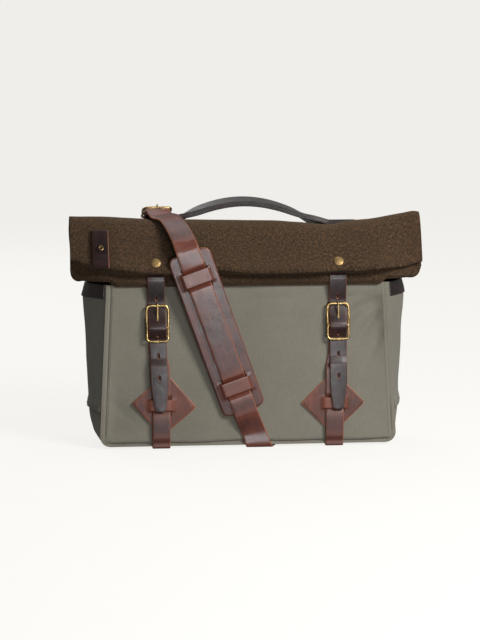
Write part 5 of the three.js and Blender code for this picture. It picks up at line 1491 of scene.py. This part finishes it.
levels = np.arange(12, 186, 2.0)
hem_columns = range(2, 47)
for side, word in SIDES:
    seam = seam_up(front_outer, levels, side * (seam_half(levels) - SEAM_IN))
    stitches(f"front_seam_{word}", seam, (0, -1, 0), **sewn)
    hem = seam_across(gussets[side][0], [WRAP_HEIGHT + SIDE_HEM_UP] * len(hem_columns), hem_columns)
    stitches(f"side_hem_{word}", hem, (side, 0, 0), **sewn)
columns = np.flatnonzero(abs(front_outer[0, :, 0]) < SEAM_BOTTOM / 2 - 14)
foot = seam_across(front_outer, seam_height(front_outer[0, columns, 0]) + FOOT_UP, columns)
stitches("foot_seam", foot, (0, -1, 0), **sewn)
hem_row = int(np.argmin(abs(wool_outer[:60, near_middle, 2] - HEM - BACK_HEM_UP)))
stitches("back_hem_seam", wool_outer[hem_row, 14:-14], (0, 1, 0), slot="tweed", material=WOOL_THREAD)

handle_piece()

for row in FASTENINGS:
    word = "left" if row[0] < 0 else "right"
    lower_x = row[0] * SPACING * row[3]
    buckle_x = strap_middle(row, BUCKLE_Z)

    def taper(line):
        t = clamp01((TIP_Z + TIP_TAPER - line[:, 1]) / TIP_TAPER)
        end = clamp01((line[:, 1] - TIP_Z) / 2.2)
        return mix(FLAP_STRAP_WIDTH, TIP_WIDTH, t ** 1.6) * (0.72 + 0.28 * np.sqrt(end))

    def lower_middle(line):
        keeper = BUCKLE_Z - BUCKLE["lower"]
        top = DIAMOND_Z + DIAMOND_REACH
        share = smooth((line[:, 1] - top) / (keeper - top - STRAP * 3.5))
        return np.where(line[:, 0] > 0, lower_x, mix(lower_x, buckle_x, share))

    def on_front(p):
        at = p[:, 0] + lower_x
        return as_grid(at, -p[:, 1] - front_depth(at, p[:, 2]), p[:, 2])

    line = flap_strap_line(row)
    fine = round_line(line, 0.55)
    hanging = (fine[:, 0] < -40) & (fine[:, 1] < 200)
    run = distances(fine)[hanging]
    holes = [(float(np.interp(-BUCKLE_Z - up, -fine[hanging, 1], run)), *HOLE_HALF) for up in HOLE_HEIGHTS]
    strap_band(f"flap_belt_{word}", line, lambda p: strap_middle(row, p[:, 1]), taper, step=0.55, columns=35,
               holes=holes, crown=0.25, node=f"flap_strap_{word}", **dark)
    strap_band(f"lower_belt_{word}", lower_strap_line(row), lower_middle, lambda p: LOWER_WIDTH,
               node=f"lower_strap_{word}", slot="red_leather", material=LOWER)
    plate(f"diamond_{word}", diamond_outline(row), DIAMOND_THICK, FIT + 0.1, LOWER_WIDTH, STRAP, [DIAMOND_Z],
          BRIDGE, on_front, node=f"diamond_patch_{word}", slot="tan_leather", material=TAN)
    place = front_place(row)
    gather(f"buckle_{word}", buckle_parts(BUCKLE_WIDTH, BUCKLE), place, node=f"buckle_frame_{word}", **brass)
    gather(f"tongue_{word}", prong_parts(BUCKLE), place, node=f"prong_{word}", **brass)
    on_flap = flap_place(strap_middle(row, FLAP_EDGE), FLAP_EDGE + FLAP_HEIGHT * 0.2, 0)
    rivet_piece(f"cap_flap_{word}", f"flap_rivet_{word}", on_flap, RIVET, RIVET_BRASS, flat=0.42)
    z = LOWER_END - RIVET * 1.4
    rivet_piece(f"cap_lower_{word}", f"lower_rivet_{word}",
                turned(0, [lower_x, front_depth(lower_x, z) + LYING + STRAP / 2, z], True), RIVET * 0.8,
                RIVET_BRASS)

route_band("shoulder_belt", shoulder_rows(),
           lambda along: SHOULDER * mix(0.55, 1, clamp01(along / SHOULDER_TIP)), node="shoulder_strap")
route_band("shoulder_belt_short", short_rows(), lambda along: SHOULDER, node="shoulder_strap_short")
pad_middle, pad_along, pad_out = wrap_frame(PAD_START + PAD_LENGTH / 2)[:3]
pad_axes = np.array([np.cross(-pad_out, -pad_along), pad_out, -pad_along])
plate("shoulder_plate", pad_outline(), PAD_THICK, FIT, SHOULDER, SHOULDER_THICK,
      [PAD_LENGTH / 2 - middle for middle in PAD_BRIDGES], PAD_BRIDGE, lambda p: pad_middle + p @ pad_axes,
      node="shoulder_pad", slot="red_leather", material=RED)
place = buckle_place()
gather("shoulder_buckle", buckle_parts(SHOULDER_BUCKLE_WIDTH, SHOULDER_BUCKLE), place,
       node="shoulder_buckle_frame", **brass)
gather("shoulder_tongue", prong_parts(SHOULDER_BUCKLE), place, node="shoulder_prong", **brass)
tag_piece()
tag_stack = FIT * 5.5 + TAG_THICK * 2
rivet_piece("cap_tag", "tag_rivet", flap_place(TAG_X, FLAP_EDGE + FLAP_HEIGHT * 0.5, tag_stack), RIVET * 0.62,
            OLD_BRASS, flat=0.5, dish=0.5)
for number, share in enumerate(HANDLE_RIVETS, 1):
    y, z, tilt = handle_frame(share * HANDLE)
    up = HANDLE_THICK / 2
    at = [share * HANDLE, y + up * math.sin(tilt), z + up * math.cos(tilt)]
    rivet_piece(f"cap_handle_{number}", f"handle_rivet_{number}", turned(-math.pi / 2 - tilt, at),
                RIVET * 0.8, RIVET_BRASS)
for word, distance in (("left", RIVET * 1.5), ("right", ROUTE_LENGTH[-1] - RIVET * 1.5)):
    point, _, out, _, stretch = wrap_frame(distance)
    at = point + out * (SHOULDER_LYING + SHOULDER_THICK / 2) * stretch
    rivet_piece(f"cap_anchor_{word}", f"anchor_rivet_{word}", turned(0, at, True), RIVET * 0.8, RIVET_BRASS)


# Floor, light and camera

def studio():
    """Pale sweep: a floor that turns up far behind the bag on a quarter circle."""
    turn = np.linspace(0, np.pi / 2, 24)
    bend = 1.5
    line = [[-6.0, 0.0], *np.column_stack([3.5 + bend * np.sin(turn), bend * (1 - np.cos(turn))]), [5.0, 7.0]]
    points = np.array([[[x, y, z] for x in np.linspace(-9, 9, 9)] for y, z in line])
    mesh = bpy.data.meshes.new("sweep")
    mesh.from_pydata(points.reshape(-1, 3).tolist(), [], lattice(*points.shape[:2]).tolist())
    mesh.polygons.foreach_set("use_smooth", [True] * len(mesh.polygons))
    sweep = bpy.data.objects.new("sweep", mesh)
    bpy.context.collection.objects.link(sweep)
    g = Graph("pale_paper")
    grain = g.noise(g.place(), 40.0, 3)
    g.set(Base_Color=g.blend(g.ramp(grain, 0.3, 0.7), srgb(96, 95, 94), srgb(94, 93, 92)), Roughness=0.95,
          Emission_Color=srgb(243, 242, 238), Emission_Strength=0.93, Specular_IOR_Level=0)
    mesh.materials.append(g.material)
    sweep.visible_diffuse = sweep.visible_glossy = False


def area_light(name, at, aim, size, power, colour=(1, 1, 1)):
    data = bpy.data.lights.new(name, "AREA")
    data.shape, data.size, data.size_y = "RECTANGLE", size[0], size[1]
    data.energy, data.color = power, colour
    light = bpy.data.objects.new(name, data)
    light.location = at
    light.rotation_euler = (Vector(aim) - Vector(at)).to_track_quat("-Z", "Y").to_euler()
    light.visible_camera = False
    bpy.context.collection.objects.link(light)


studio()
aim = (-0.005, 0.0055, 0.145)
area_light("key", (0.85, -1.1, 0.95), aim, (0.55, 0.45), 30, (1.0, 0.985, 0.96))
area_light("front", (0.17, -1.5, 0.11), (0, 0, 0.13), (0.5, 0.17), 8.5, (0.95, 0.975, 1.0))
area_light("top", (0.2, 0.5, 2.2), aim, (1.6, 1.2), 12)
area_light("back", (-0.9, 1.8, 1.3), aim, (1.2, 1.0), 16)
world = bpy.data.worlds.new("studio_light")
world.use_nodes = True
world.node_tree.nodes["Background"].inputs["Color"].default_value = srgb(246, 245, 242)
world.node_tree.nodes["Background"].inputs["Strength"].default_value = 0.22
bpy.context.scene.world = world
bpy.context.scene.view_settings.view_transform = "Standard"

camera_data = bpy.data.cameras.new("camera")
camera_data.lens = 140
camera = bpy.data.objects.new("camera", camera_data)
azimuth, elevation, distance = math.radians(-6), math.radians(7.5), 2.987
toward = Vector((math.sin(azimuth) * math.cos(elevation), -math.cos(azimuth) * math.cos(elevation),
                 math.sin(elevation)))
camera.location = Vector(aim) + toward * distance
camera.rotation_euler = (-toward).to_track_quat("-Z", "Y").to_euler()
bpy.context.collection.objects.link(camera)
bpy.context.scene.camera = camera
